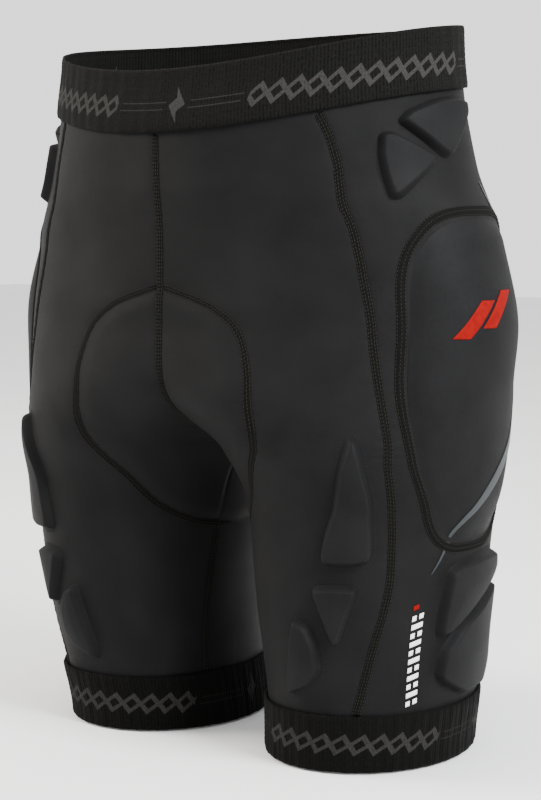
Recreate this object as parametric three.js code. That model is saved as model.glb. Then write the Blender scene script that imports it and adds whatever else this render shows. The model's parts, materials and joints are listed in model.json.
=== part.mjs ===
// Padded impact shorts: a stretch fabric shell in six panels, an elastic waistband and cuffs, a seat pad
// between the legs, domed hip pads under sewn covers, and moulded foam pads on hips, thighs and tailbone.
// Millimetres, +Z up, the front of the wearer towards -Y and the wearer's left towards +X. The origin is
// the middle of the waist opening, level with the top edge of the band at the two sides.
import * as THREE from "three";

const { degToRad, lerp, smoothstep } = THREE.MathUtils;

// Heights are measured up from the hem. Angles go round each leg from its outer side: -90 is the front.
const SIDE_HEIGHT = 474;
const CROTCH_HEIGHT = 204;
const HIP_AXIS_HEIGHT = 300;
const BAND_WIDTH = 40;
const CUFF_WIDTH = 38;
const BAND_OVERLAP = 8;
const ELASTIC_THICK = 2;
const FABRIC_THICK = 1.2;
const SEAT_PAD_THICK = 8;
const SEAT_PAD_RIM = 2;
const HIP_PAD_RISE = 11;
const HIP_PAD_WIDTH = 127;
const HIP_PAD_LENGTH = 206;
const HIP_PAD_HEIGHT = 251;
const HIP_PAD_SQUARENESS = 3.4;
const HIP_PAD_FLATNESS = 3.2;
const HIP_FOAM_SHARE = 0.9;
const FOAM_LIFT = 2;
const FOAM_HEADROOM = 1.5;
const SHARD_THICK = 6.5;
const SEAM_WIDTH = 6;
const HIP_SEAM_WIDTH = 7;
const CENTRE_SEAM_WIDTH = 5;
const SEAM_THICK = 1;
const PRINT_THICK = 0.6;
const STRIPE_WIDTH = 8;
const LABEL_WIDTH = 9;
const GRIPPER_THICK = 1;
const GRIPPER_INSET = 8;
const GRIPPER_MARGIN = 4;
const GRIPPER_WIDTH = CUFF_WIDTH - BAND_OVERLAP - GRIPPER_INSET - GRIPPER_MARGIN;
const CLEARANCE = 0.5;
const SEAM_LIFT = 0.9;
const PAD_LIFT = 1;
const ELASTIC_LIFT = 1;
const SEAT_PAD_GAP = 2.4;
const SEAM_GAP = 0.4;

// The body in level slices. Each leg's slice is an ellipse, cut at the middle plane above the crotch:
// height, centre out from the middle, centre back, half width, depth in front, depth behind.
const SLICES = [
  [0, 86.5, 10, 63.5, 75, 82],
  [38, 90, 8, 64.5, 79, 85],
  [104, 93, 3, 70, 88, 88],
  [170, 94.5, 0, 79.5, 88, 90],
  [CROTCH_HEIGHT, 87.5, 0, 87.2, 100, 102],
  [249, 45, 0, 132.5, 109, 116],
  [292, 18, 0, 163.5, 105, 121],
  [338, 0, 0, 176.5, 105, 118],
  [386, 0, 0, 160, 108, 108],
  [434, 0, 0, 150, 109, 102],
  [SIDE_HEIGHT, 0, 0, 147, 104, 99],
];
// The waist edge dips in front and stands up behind, fading out between these two heights.
const WAIST_LIFT = { tilt: 12, sag: -8, scoop: 7, from: 338, to: 434 };

// Seams as height and angle.
const SIDE_FRONT_SEAM = [
  [38, -59.5], [50, -57], [68, -53], [89, -48.5], [108, -45], [130, -43.1], [153, -43.8],
  [175, -45.4], [198, -43.8], [220, -41.3], [242, -40.4], [284, -42.2], [322, -42.2],
  [344, -43.4], [362, -44.4], [380, -43.2], [395, -42.6], [416, -43.4], [442, -46.5],
];
const SIDE_REAR_SEAM = [[38, 58], [90, 50], [135, 47], [190, 48], [250, 46], [380, 48], [442, 50]];
const INSEAM_TURN = [[0, 22], [50, 20], [120, 14], [184, 9], [CROTCH_HEIGHT, 0]];

// The seat pad's edge from the middle of the inner thigh up to its top in front. The angle is counted from
// the inner side of the leg, and the same edge is repeated behind.
const SEAT_PAD_EDGE = [
  [0, 141], [25, 147], [45, 161], [62, 184], [80, 208],
  [94, 230], [102, 252], [104, 280], [99, 297], [89.5, 308],
];

// Moulded foam pads: corners as angle and height, with the radius that rounds them. The hip pads' heights
// are counted from the foot of the waistband at the sides.
const HIP_SHARDS = {
  iliac_pad_front: {
    round: 4,
    corners: [
      [-30, -21], [-31.5, -37], [-31.5, -68], [-28.5, -68.5], [-12.8, -46], [-12.8, -40], [-26, -20.5],
    ],
  },
  iliac_pad_side: {
    round: 4,
    corners: [[-24, -15.5], [-20, -9], [-9, -4.5], [1, -4], [9.5, -7], [9.5, -17], [-5, -43], [-9, -43]],
  },
};
const belowBand = ({ round, corners }) => ({
  round,
  corners: corners.map(([degrees, drop]) => [degrees, SIDE_HEIGHT - BAND_WIDTH + drop]),
});
const LEG_SHARDS = {
  thigh_pad_tall: {
    round: 4,
    corners: [
      [-55.5, 220.5], [-52.5, 218], [-53.2, 195], [-53.8, 170], [-52, 147], [-53, 140], [-62.5, 137.5],
      [-75.5, 138], [-76.5, 144], [-74.3, 160], [-69.5, 183], [-61, 208],
    ],
  },
  thigh_pad_point: {
    round: 4,
    corners: [[-81, 121], [-79, 125], [-69, 126], [-58.5, 125.5], [-57.5, 121], [-66, 86.5], [-70.5, 86]],
  },
  thigh_pad_corner: {
    round: 4,
    corners: [[-91.5, 104], [-82, 99.5], [-77, 86.5], [-76.3, 69], [-82, 58.5], [-98.5, 48.5], [-98.5, 62]],
  },
  outer_pad_upper: {
    round: 5,
    corners: [
      [-14, 131], [-6, 136.5], [8, 138], [26, 138], [34, 124], [11, 107], [-12, 88], [-18.5, 87], [-18, 100],
    ],
  },
  outer_pad_lower: {
    round: 5,
    corners: [[-1, 96], [34, 115], [37, 100], [34, 60], [22, 44], [2, 44], [-12, 54], [-17.5, 60], [-15, 77]],
  },
};
// Tailbone pads: corners as distance from the middle of the back and height.
const TAILBONE_SHARDS = {
  tailbone_pad_upper: {
    round: 8,
    corners: [[-34, 372], [34, 372], [30, 352], [8, 322], [-8, 322], [-30, 352]],
  },
  tailbone_pad_lower: {
    round: 8,
    corners: [[0, 316], [22, 290], [14, 258], [0, 246], [-14, 258], [-22, 290]],
  },
};

const EMBLEM = { round: 3, corners: [[-15, 281], [-8, 281], [7, 307], [0, 307]] };
const STRIPE_ROUTE = [[-12, 163], [-1, 176.5], [10, 190], [21, 210]];
const LABEL_ROUTE = [[-31, 46], [-30, 78], [-28, 110]];

const FABRIC = new THREE.MeshStandardMaterial({ color: 0x1f2022, roughness: 0.85, metalness: 0 });
const PAD_FABRIC = new THREE.MeshStandardMaterial({ color: 0x222325, roughness: 0.8, metalness: 0 });
const ELASTIC = new THREE.MeshStandardMaterial({ color: 0x26262a, roughness: 0.9, metalness: 0 });
const THREAD = new THREE.MeshStandardMaterial({ color: 0x17181a, roughness: 0.8, metalness: 0 });
const FOAM = new THREE.MeshStandardMaterial({ color: 0x3a3b3d, roughness: 0.95, metalness: 0 });
const REFLECTIVE = new THREE.MeshStandardMaterial({ color: 0xb9c3c8, roughness: 0.35, metalness: 0.3 });
const RED_PRINT = new THREE.MeshStandardMaterial({ color: 0xe0432a, roughness: 0.5, metalness: 0 });
const WHITE_PRINT = new THREE.MeshStandardMaterial({ color: 0xf2f2f2, roughness: 0.5, metalness: 0 });
const SILICONE = new THREE.MeshStandardMaterial({ color: 0x2e2f31, roughness: 0.4, metalness: 0 });

// Each leg is a group whose origin is on the hip axis, so turning the group about X swings the leg.
const HIP_AXIS = HIP_AXIS_HEIGHT - SIDE_HEIGHT;
const assembly = new THREE.Group();
const legs = { left_: new THREE.Group(), right_: new THREE.Group() };
for (const leg of Object.values(legs)) {
  leg.position.z = HIP_AXIS;
  assembly.add(leg);
}

function addPiece(name, geometry, material) {
  const piece = new THREE.Mesh(geometry, material);
  piece.name = name;
  assembly.add(piece);
}

function addLegPiece(prefix, name, geometry, material) {
  const piece = new THREE.Mesh(geometry, material);
  piece.name = prefix + name;
  piece.position.z = -HIP_AXIS;
  legs[prefix].add(piece);
}

// A smooth curve through rows of [place, value, ...] that never overshoots between two rows.
function through(rows, place, column = 1) {
  const last = rows.length - 1;
  const at = THREE.MathUtils.clamp(place, rows[0][0], rows[last][0]);
  const i = Math.min(last - 1, Math.max(0, rows.findIndex((row) => row[0] > at) - 1));
  const found = at >= rows[last][0] ? last - 1 : i;
  const slope = (k) => (rows[k + 1][column] - rows[k][column]) / (rows[k + 1][0] - rows[k][0]);
  const tangent = (k) => {
    if (k === 0 || k === last) return 0;
    const before = slope(k - 1);
    const after = slope(k);
    return before * after <= 0 ? 0 : (2 * before * after) / (before + after);
  };
  const step = rows[found + 1][0] - rows[found][0];
  const t = (at - rows[found][0]) / step;
  const start = rows[found][column];
  const end = rows[found + 1][column];
  const leave = tangent(found) * step;
  const arrive = tangent(found + 1) * step;
  return (
    start * (1 + 2 * t) * (1 - t) ** 2 + leave * t * (1 - t) ** 2 +
    end * t * t * (3 - 2 * t) + arrive * t * t * (t - 1)
  );
}

function slice(height) {
  const [out, back, half, front, rear] = [1, 2, 3, 4, 5].map((column) => through(SLICES, height, column));
  return { out, back, half, front, rear };
}

function waistLift(height, s) {
  const { tilt, sag, scoop, from, to } = WAIST_LIFT;
  return smoothstep(height, from, to) * (tilt * s + sag * s * s + scoop * s ** 3);
}

// A point of the fabric's outer face on the wearer's left.
function bareSkin(degrees, height) {
  const { out, back, half, front, rear } = slice(height);
  const s = Math.sin(degToRad(degrees));
  return new THREE.Vector3(
    out + half * Math.cos(degToRad(degrees)),
    back + (s < 0 ? front : rear) * s,
    height - SIDE_HEIGHT + waistLift(height, s),
  );
}

// The same face's outward direction. It turns into the middle plane where the two halves meet.
function skinNormal(degrees, height) {
  const level = THREE.MathUtils.clamp(height, 1, SIDE_HEIGHT - 1);
  const round = bareSkin(degrees + 0.2, level).sub(bareSkin(degrees - 0.2, level));
  const up = bareSkin(degrees, level + 0.5).sub(bareSkin(degrees, level - 0.5));
  const normal = round.cross(up).normalize();
  normal.x *= smoothstep(Math.abs(bareSkin(degrees, height).x), 0, 12);
  return normal.normalize();
}

// A point at a distance out from the fabric's outer face, on one side: 1 for left, -1 for right.
function skin(side, degrees, height, outward) {
  const point = bareSkin(degrees, height).addScaledVector(skinNormal(degrees, height), outward);
  point.x *= side;
  return point;
}

// The angle where a slice meets the middle plane, or the inner side of the leg below the crotch.
function middleAngle(height, gap = 0) {
  const { out, half } = slice(height);
  return THREE.MathUtils.radToDeg(Math.acos(Math.max(-1, (gap - out) / half)));
}

// Millimetres round the body for one degree.
function perDegree(degrees, height) {
  return bareSkin(degrees + 0.5, height).distanceTo(bareSkin(degrees - 0.5, height));
}

// Moves every corner of a closed geometry and keeps its faces pointing outwards.
function bend(geometry, place) {
  const position = geometry.getAttribute("position");
  for (let i = 0; i < position.count; i++) {
    const moved = place(new THREE.Vector3().fromBufferAttribute(position, i));
    position.setXYZ(i, moved.x, moved.y, moved.z);
  }
  geometry.deleteAttribute("normal");
  geometry.deleteAttribute("uv");
  const index = geometry.getIndex();
  const corner = (i) => new THREE.Vector3().fromBufferAttribute(position, index.getX(i));
  let volume = 0;
  for (let i = 0; i < index.count; i += 3) volume += corner(i).dot(corner(i + 1).cross(corner(i + 2)));
  if (volume < 0) {
    for (let i = 0; i < index.count; i += 3) {
      const second = index.getX(i + 1);
      index.setX(i + 1, index.getX(i + 2));
      index.setX(i + 2, second);
    }
  }
  geometry.computeVertexNormals();
  return geometry;
}

// A slab of columns x rows cells, bent by place(across 0..1, along 0..1, through 0..1).
function bentSlab(columns, rows, place) {
  const slab = new THREE.BoxGeometry(1, 1, 1, columns, rows, 1);
  return bend(slab, (p) => place(p.x + 0.5, p.y + 0.5, p.z + 0.5));
}

// A closed ring of elastic or silicone round a waist or a leg, its edges level all round.
function bentRing(segments, side, low, high, inner, outer) {
  const across = [[outer, 0], [outer, 1], [inner, 1], [inner, 0], [outer, 0]];
  const profile = across.map(([reach, rise]) => new THREE.Vector2(100 + reach, rise));
  return bend(new THREE.LatheGeometry(profile, segments), (p) => {
    const degrees = THREE.MathUtils.radToDeg(Math.atan2(p.z, p.x));
    const height = lerp(low, high, p.y);
    const normal = skinNormal(degrees, height).setZ(0).normalize();
    const point = bareSkin(degrees, height).addScaledVector(normal, Math.hypot(p.x, p.z) - 100);
    return point.setX(point.x * side);
  });
}

// A rounded outline: a closed list of evenly spaced points from corners in millimetres.
function roundedOutline(corners, radius, count) {
  const points = corners.map(([x, y]) => new THREE.Vector2(x, y));
  const shape = new THREE.Shape();
  points.forEach((corner, i) => {
    const before = points[(i + points.length - 1) % points.length];
    const after = points[(i + 1) % points.length];
    const reachIn = Math.min(radius, corner.distanceTo(before) / 2);
    const reachOut = Math.min(radius, corner.distanceTo(after) / 2);
    const enter = corner.clone().addScaledVector(before.clone().sub(corner).normalize(), reachIn);
    const leave = corner.clone().addScaledVector(after.clone().sub(corner).normalize(), reachOut);
    if (i === 0) shape.moveTo(enter.x, enter.y);
    else shape.lineTo(enter.x, enter.y);
    shape.quadraticCurveTo(corner.x, corner.y, leave.x, leave.y);
  });
  shape.closePath();
  return shape.getSpacedPoints(count).slice(0, count);
}

// A disc turned on the lathe and stretched to an outline. Profile rows are [share of radius, layer], and
// place(x, y, layer, share) puts each corner on the body.
function bentDisc(outline, profile, place) {
  const count = outline.length;
  const rows = profile.map(([share, layer]) => new THREE.Vector2(share, layer));
  return bend(new THREE.LatheGeometry(rows, count), (p) => {
    const share = Math.hypot(p.x, p.z);
    const turn = Math.atan2(p.x, p.z) / (2 * Math.PI);
    const edge = outline[(Math.round(turn * count) + count) % count];
    return place(edge.x * share, edge.y * share, p.y, share);
  });
}

// A moulded pad: full at the middle, its edge bevelled.
const SHARD_PROFILE = [[0, 0], [0.5, 0], [1, 0], [1, 0.4], [0.86, 0.9], [0.6, 1], [0, 1]];
const FLAT_PROFILE = [[0, 0], [0.5, 0], [1, 0], [1, 1], [0.5, 1], [0, 1]];

function padOnSkin(side, { corners, round }, profile, thick, base, segments) {
  const middle = new THREE.Vector2();
  corners.forEach(([degrees, height]) => middle.add(new THREE.Vector2(degrees, height)));
  middle.divideScalar(corners.length);
  const scale = perDegree(middle.x, middle.y);
  const local = corners.map(([degrees, height]) => [(degrees - middle.x) * scale, height - middle.y]);
  return bentDisc(roundedOutline(local, round, segments), profile, (x, y, layer) => {
    const degrees = middle.x + x / scale;
    const height = middle.y + y;
    return skin(side, degrees, height, base(degrees, height) + layer * thick);
  });
}

// A flat strip laid along a route of [angle, height] points, each edge following the surface below it.
function stripOnSkin(side, routeAt, steps, width, base, thick) {
  return bentSlab(steps, 1, (along, across, layer) => {
    const [degrees, height] = routeAt(along);
    const scale = perDegree(degrees, height);
    const ahead = routeAt(Math.min(1, along + 0.01));
    const behind = routeAt(Math.max(0, along - 0.01));
    const travel = new THREE.Vector2((ahead[0] - behind[0]) * scale, ahead[1] - behind[1]).normalize();
    const shift = (across - 0.5) * width;
    const at = [degrees - (travel.y * shift) / scale, height + travel.x * shift];
    return skin(side, ...at, base(...at) + layer * thick);
  });
}

function splineRoute(points) {
  const curve = new THREE.SplineCurve(points.map(([degrees, height]) => new THREE.Vector2(degrees, height)));
  return (t) => curve.getPoint(t).toArray();
}

const onFabric = () => SEAM_LIFT;
const underPad = () => PAD_LIFT;

// Fabric panels, in rows that crowd together where the slices change fast.
const PANEL_TOP = SIDE_HEIGHT - BAND_WIDTH + BAND_OVERLAP;
const PANEL_FOOT = CUFF_WIDTH - BAND_OVERLAP;
const LEG_ROWS = [PANEL_FOOT, 62, 92, 122, 150, 172, 190, CROTCH_HEIGHT];
const CROTCH_ROWS = [205.2, 207.5, 212, 219, 228, 240, 254, 272, 292];
const PANEL_ROWS = [...LEG_ROWS, ...CROTCH_ROWS, 316, 342, 370, 398, 422, PANEL_TOP];

function panel(side, columns, heights, startAngle, endAngle) {
  const rows = heights.length - 1;
  return bentSlab(columns, rows, (across, along, layer) => {
    const height = heights[Math.round(along * rows)];
    const [start, end] = [startAngle(height), endAngle(height)];
    const inward = (Math.sign(end - start) * SEAM_GAP) / 2;
    const first = start + inward / perDegree(start, height);
    const last = end - inward / perDegree(end, height);
    return skin(side, lerp(first, last, across), height, (layer - 1) * FABRIC_THICK);
  });
}

const sideFront = (height) => through(SIDE_FRONT_SEAM, height);
const sideRear = (height) => through(SIDE_REAR_SEAM, height);
const inseamTurn = (height) => through(INSEAM_TURN, height);
const frontInner = (height) =>
  height > CROTCH_HEIGHT ? -middleAngle(height, SEAM_GAP) : inseamTurn(height) - 180;
const rearInner = (height) =>
  height > CROTCH_HEIGHT ? middleAngle(height, SEAM_GAP) : 180 + inseamTurn(height);

// The seat pad: a saddle that crosses the middle plane, thick in the middle and thin at its edge.
const seatPadEdge = splineRoute(SEAT_PAD_EDGE);
const SEAT_PAD_TOP = SEAT_PAD_EDGE[SEAT_PAD_EDGE.length - 1][1];

function seatPadPoint(along, across, layer) {
  const run = along * 2 - 1;
  const reach = Math.sign(across - 0.5) * Math.abs(across * 2 - 1) ** 1.4;
  const facing = run < 0 ? -1 : 1;
  const middleHeight = CROTCH_HEIGHT + (SEAT_PAD_TOP - CROTCH_HEIGHT) * run * run;
  const [edgeTurn, edgeHeight] = seatPadEdge(Math.abs(run));
  const height = lerp(middleHeight, edgeHeight, Math.abs(reach));
  const turn = lerp(180 - middleAngle(middleHeight), edgeTurn, Math.abs(reach));
  const onBody = Math.min(180 - turn, height > CROTCH_HEIGHT ? middleAngle(height) : 180);
  const thick = lerp(SEAT_PAD_THICK, SEAT_PAD_RIM, Math.abs(reach) ** 2);
  const depth = FABRIC_THICK + SEAT_PAD_GAP + (1 - layer) * thick;
  return skin(reach < 0 ? -1 : 1, facing * onBody, height, -depth);
}

// The outline seam stops this share of the way to the centre seam, front and back.
const SEAT_SEAM_REACH = 0.96;

function seatPadSeam(side) {
  const route = (t) => {
    const run = (t * 2 - 1) * SEAT_SEAM_REACH;
    const [turn, height] = seatPadEdge(Math.abs(run));
    return [-180 - Math.sign(run) * turn, height];
  };
  return stripOnSkin(side, route, 36, SEAM_WIDTH, onFabric, SEAM_THICK);
}

// Centre seams run down the middle plane to the lowest point between the legs, over both halves.
function centreSeam(facing) {
  const top = SIDE_HEIGHT - BAND_WIDTH - 2;
  const foot = CROTCH_HEIGHT + 2;
  return bentSlab(20, 2, (along, across, layer) => {
    const height = foot + (top - foot) * (1 - along) ** 2;
    const x = (across - 0.5) * CENTRE_SEAM_WIDTH;
    const lift = SEAM_LIFT + layer * SEAM_THICK;
    return skin(1, facing * middleAngle(height, Math.abs(x)), height, lift).setX(x);
  });
}

// The hip pad's outline in millimetres, and how far its cover stands off the fabric.
const HIP_SEGMENTS = 32;
const hipOutline = (margin) => {
  const power = 2 / HIP_PAD_SQUARENESS;
  return Array.from({ length: HIP_SEGMENTS }, (_, i) => {
    const turn = (i / HIP_SEGMENTS) * 2 * Math.PI;
    const [c, s] = [Math.cos(turn), Math.sin(turn)];
    return new THREE.Vector2(
      (HIP_PAD_WIDTH / 2 + margin) * Math.sign(c) * Math.abs(c) ** power,
      (HIP_PAD_LENGTH / 2 + margin) * Math.sign(s) * Math.abs(s) ** power,
    );
  });
};
const HIP_SCALE = perDegree(0, HIP_PAD_HEIGHT);
const crown = (share) => HIP_PAD_RISE * (1 - share ** HIP_PAD_FLATNESS);
const hipShare = (degrees, height) => {
  const x = (2 * Math.abs(degrees) * HIP_SCALE) / HIP_PAD_WIDTH;
  const y = (2 * Math.abs(height - HIP_PAD_HEIGHT)) / HIP_PAD_LENGTH;
  return Math.min(1, (x ** HIP_PAD_SQUARENESS + y ** HIP_PAD_SQUARENESS) ** (1 / HIP_PAD_SQUARENESS));
};
const onHipCover = (degrees, height) =>
  PAD_LIFT + crown(hipShare(degrees, height)) + FABRIC_THICK + CLEARANCE;

function hipPiece(side, profile, margin, offset) {
  return bentDisc(hipOutline(margin), profile, (x, y, layer, share) =>
    skin(side, x / HIP_SCALE, HIP_PAD_HEIGHT + y, offset(layer, share)),
  );
}

const DOME_SHARES = [0, 0.25, 0.5, 0.7, 0.83];
const domeProfile = (edge) => [
  ...DOME_SHARES.map((share) => [share, 0]), ...edge, ...DOME_SHARES.toReversed().map((share) => [share, 1]),
];
const COVER_PROFILE = domeProfile([[0.94, 0], [1, 0], [1, 1], [0.94, 1]]);
const FOAM_PROFILE = domeProfile([[HIP_FOAM_SHARE, 0], [HIP_FOAM_SHARE, 0.8]]);

function hipSeam(side) {
  const outline = [...hipOutline(SEAM_GAP), ...hipOutline(SEAM_GAP + HIP_SEAM_WIDTH)];
  const profile = [[1, 0], [2, 0], [2, 1], [1, 1], [1, 0]].map(([r, l]) => new THREE.Vector2(r, l));
  return bend(new THREE.LatheGeometry(profile, HIP_SEGMENTS), (p) => {
    const reach = Math.hypot(p.x, p.z) > 1.5 ? HIP_SEGMENTS : 0;
    const turn = Math.atan2(p.x, p.z) / (2 * Math.PI);
    const at = outline[((Math.round(turn * HIP_SEGMENTS) + HIP_SEGMENTS) % HIP_SEGMENTS) + reach];
    return skin(side, at.x / HIP_SCALE, HIP_PAD_HEIGHT + at.y, SEAM_LIFT + p.y * SEAM_THICK);
  });
}

function addHipPad(side, prefix) {
  const cover = (layer, share) => PAD_LIFT + crown(share) + layer * FABRIC_THICK;
  const foam = (layer, share) => lerp(FOAM_LIFT, PAD_LIFT + crown(share) - FOAM_HEADROOM, layer);
  addPiece(prefix + "hip_cover", hipPiece(side, COVER_PROFILE, 0, cover), PAD_FABRIC);
  addPiece(prefix + "hip_foam", hipPiece(side, FOAM_PROFILE, 0, foam), FOAM);
  addPiece(prefix + "hip_seam", hipSeam(side), THREAD);
  addPiece(
    prefix + "hip_emblem",
    padOnSkin(side, EMBLEM, FLAT_PROFILE, PRINT_THICK, onHipCover, 12),
    RED_PRINT,
  );
  const stripe = stripOnSkin(side, splineRoute(STRIPE_ROUTE), 14, STRIPE_WIDTH, onHipCover, PRINT_THICK);
  addPiece(prefix + "reflective_stripe", stripe, REFLECTIVE);
}

function seamBetween(side, angleAt, low, high, steps) {
  const route = (t) => {
    const height = lerp(low, high, t);
    return [angleAt(height), height];
  };
  return stripOnSkin(side, route, steps, SEAM_WIDTH, onFabric, SEAM_THICK);
}

function addSide(side, prefix) {
  addPiece(prefix + "front_panel", panel(side, 8, PANEL_ROWS, sideFront, frontInner), FABRIC);
  addPiece(prefix + "side_panel", panel(side, 6, PANEL_ROWS, sideFront, sideRear), FABRIC);
  addPiece(prefix + "back_panel", panel(side, 9, PANEL_ROWS, sideRear, rearInner), FABRIC);

  const seamTop = SIDE_HEIGHT - BAND_WIDTH - 2;
  const seamFoot = CUFF_WIDTH + 2;
  const seatPadFoot = SEAT_PAD_EDGE[0][1];
  addPiece(prefix + "side_front_seam", seamBetween(side, sideFront, seamFoot, seamTop, 22), THREAD);
  addPiece(prefix + "side_rear_seam", seamBetween(side, sideRear, seamFoot, seamTop, 22), THREAD);
  const inseam = seamBetween(side, (h) => inseamTurn(h) - 180, seamFoot, seatPadFoot - SEAM_WIDTH, 8);
  addPiece(prefix + "inseam", inseam, THREAD);
  addPiece(prefix + "seat_pad_seam", seatPadSeam(side), THREAD);

  addHipPad(side, prefix);
  const shardOf = (shard) => padOnSkin(side, shard, SHARD_PROFILE, SHARD_THICK, underPad, 18);
  for (const [name, shard] of Object.entries(HIP_SHARDS)) {
    addPiece(prefix + name, shardOf(belowBand(shard)), PAD_FABRIC);
  }
  for (const [name, shard] of Object.entries(LEG_SHARDS)) {
    addLegPiece(prefix, name, shardOf(shard), PAD_FABRIC);
  }

  const cuff = bentRing(32, side, 0, CUFF_WIDTH, ELASTIC_LIFT, ELASTIC_LIFT + ELASTIC_THICK);
  addLegPiece(prefix, "cuff", cuff, ELASTIC);
  const gripLow = GRIPPER_INSET;
  const gripFace = ELASTIC_LIFT - SEAM_GAP;
  const gripper = bentRing(32, side, gripLow, gripLow + GRIPPER_WIDTH, gripFace - GRIPPER_THICK, gripFace);
  addLegPiece(prefix, "cuff_gripper", gripper, SILICONE);
  const label = stripOnSkin(side, splineRoute(LABEL_ROUTE), 6, LABEL_WIDTH, onFabric, PRINT_THICK);
  addLegPiece(prefix, "thigh_print", label, WHITE_PRINT);
}

addSide(1, "left_");
addSide(-1, "right_");

const bandFoot = SIDE_HEIGHT - BAND_WIDTH;
const waistband = bentRing(48, 1, bandFoot, SIDE_HEIGHT, ELASTIC_LIFT, ELASTIC_LIFT + ELASTIC_THICK);
addPiece("waistband", waistband, ELASTIC);
addPiece("centre_front_seam", centreSeam(-1), THREAD);
addPiece("centre_back_seam", centreSeam(1), THREAD);
addPiece("seat_pad", bentSlab(24, 14, seatPadPoint), PAD_FABRIC);

// Tailbone pads lie over the centre back seam.
for (const [name, { corners, round }] of Object.entries(TAILBONE_SHARDS)) {
  const middle = corners.reduce((sum, [, height]) => sum + height, 0) / corners.length;
  const outline = roundedOutline(corners.map(([x, height]) => [x, height - middle]), round, 20);
  const pad = bentDisc(outline, SHARD_PROFILE, (x, y, layer) => {
    const height = middle + y;
    const degrees = middleAngle(height) - Math.abs(x) / perDegree(middleAngle(height), height);
    const base = SEAM_LIFT + SEAM_THICK + CLEARANCE;
    return skin(x < 0 ? -1 : 1, degrees, height, base + layer * SHARD_THICK);
  });
  addPiece(name, pad, PAD_FABRIC);
}

export default assembly;
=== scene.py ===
"""Padded impact shorts: stretch cloth, ribbed elastic, stitched seams and foam pads."""

from __future__ import annotations

import json
import logging
import math
from collections import Counter
from dataclasses import dataclass, field, replace
from enum import Enum
from functools import partial
from typing import Callable, Sequence

import bpy
import numpy as np
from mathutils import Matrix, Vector

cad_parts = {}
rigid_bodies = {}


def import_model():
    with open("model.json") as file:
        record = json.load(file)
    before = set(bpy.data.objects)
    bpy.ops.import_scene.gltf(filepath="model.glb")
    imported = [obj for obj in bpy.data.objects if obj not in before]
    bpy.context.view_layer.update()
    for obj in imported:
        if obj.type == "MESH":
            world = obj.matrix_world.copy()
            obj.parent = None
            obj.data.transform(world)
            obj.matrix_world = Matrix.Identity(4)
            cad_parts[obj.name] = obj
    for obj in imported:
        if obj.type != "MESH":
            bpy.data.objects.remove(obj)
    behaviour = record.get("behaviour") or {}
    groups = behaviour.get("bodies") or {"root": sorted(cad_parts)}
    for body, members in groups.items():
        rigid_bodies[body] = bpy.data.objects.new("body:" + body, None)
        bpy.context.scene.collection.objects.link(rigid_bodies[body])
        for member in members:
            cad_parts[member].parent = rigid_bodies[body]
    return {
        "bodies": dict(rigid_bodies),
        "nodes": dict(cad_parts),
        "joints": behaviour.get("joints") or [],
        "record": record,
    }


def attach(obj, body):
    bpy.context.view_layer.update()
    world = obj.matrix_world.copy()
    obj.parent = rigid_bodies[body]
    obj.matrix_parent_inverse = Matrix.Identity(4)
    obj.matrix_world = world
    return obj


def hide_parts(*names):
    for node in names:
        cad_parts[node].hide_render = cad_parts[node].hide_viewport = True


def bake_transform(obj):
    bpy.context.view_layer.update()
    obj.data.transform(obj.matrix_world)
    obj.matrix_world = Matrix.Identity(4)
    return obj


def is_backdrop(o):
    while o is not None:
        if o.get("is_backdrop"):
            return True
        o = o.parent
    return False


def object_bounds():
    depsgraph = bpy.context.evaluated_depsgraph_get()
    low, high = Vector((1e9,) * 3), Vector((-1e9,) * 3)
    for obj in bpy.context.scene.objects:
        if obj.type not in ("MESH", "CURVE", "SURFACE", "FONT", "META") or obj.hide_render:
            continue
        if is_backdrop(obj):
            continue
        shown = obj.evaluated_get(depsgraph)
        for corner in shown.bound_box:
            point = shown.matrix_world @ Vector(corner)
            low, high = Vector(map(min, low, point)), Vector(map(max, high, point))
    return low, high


LOG = logging.getLogger("impact_shorts")
MM = 0.001
TINY = 1e-12
FAR = 1e9
JOIN_REACH = 2e-6
STRIP_COLUMNS = 6
TAPE_THICK = 0.5
PRINT_THICK = 0.12
LEAST_AND_MOST_SCALE = (1.2, 2.4)
Rows = Sequence[Sequence[float]]
Array = np.ndarray
Place = Callable[[Array, Array], "Placed"]
Piece = bpy.types.Object


class Side(Enum):
    """One half of the shorts, by the wearer's own left and right."""

    LEFT = 1
    RIGHT = -1

    @property
    def prefix(self) -> str:
        """The start of this half's names."""
        return self.name.lower() + "_"

    @property
    def leg(self) -> str:
        """The body that carries this half's cuff."""
        return self.prefix + "leg"


# ---- The worn form ----


def through(rows: Rows, place: Array, column: int = 1) -> Array:
    """Reads a smooth curve that never overshoots between its rows.

    Args:
        rows: Rows of [place, value, ...] with rising places.
        place: Where to read it.
        column: Which value of each row.

    Returns:
        The value at each place.
    """
    x = np.array([row[0] for row in rows], float)
    y = np.array([row[column] for row in rows], float)
    at = np.clip(place, x[0], x[-1])
    slope = np.diff(y) / np.diff(x)
    tangent = np.zeros(len(x))
    before, after = slope[:-1], slope[1:]
    same = before * after > 0
    tangent[1:-1][same] = 2 * before[same] * after[same] / (before + after)[same]
    i = np.clip(np.searchsorted(x, at, side="right") - 1, 0, len(x) - 2)
    step = x[i + 1] - x[i]
    t = (at - x[i]) / step
    return (
        y[i] * (1 + 2 * t) * (1 - t) ** 2
        + tangent[i] * step * t * (1 - t) ** 2
        + y[i + 1] * t * t * (3 - 2 * t)
        + tangent[i + 1] * step * t * t * (t - 1)
    )


def smooth(x: Array, low: float, high: float) -> Array:
    """A smooth step from 0 at low to 1 at high."""
    t = np.clip((np.asarray(x, float) - low) / (high - low), 0, 1)
    return t * t * (3 - 2 * t)


def unit(v: Array) -> Array:
    """Rows of v at length 1."""
    return v / np.maximum(np.linalg.norm(v, axis=-1, keepdims=True), TINY)


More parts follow.
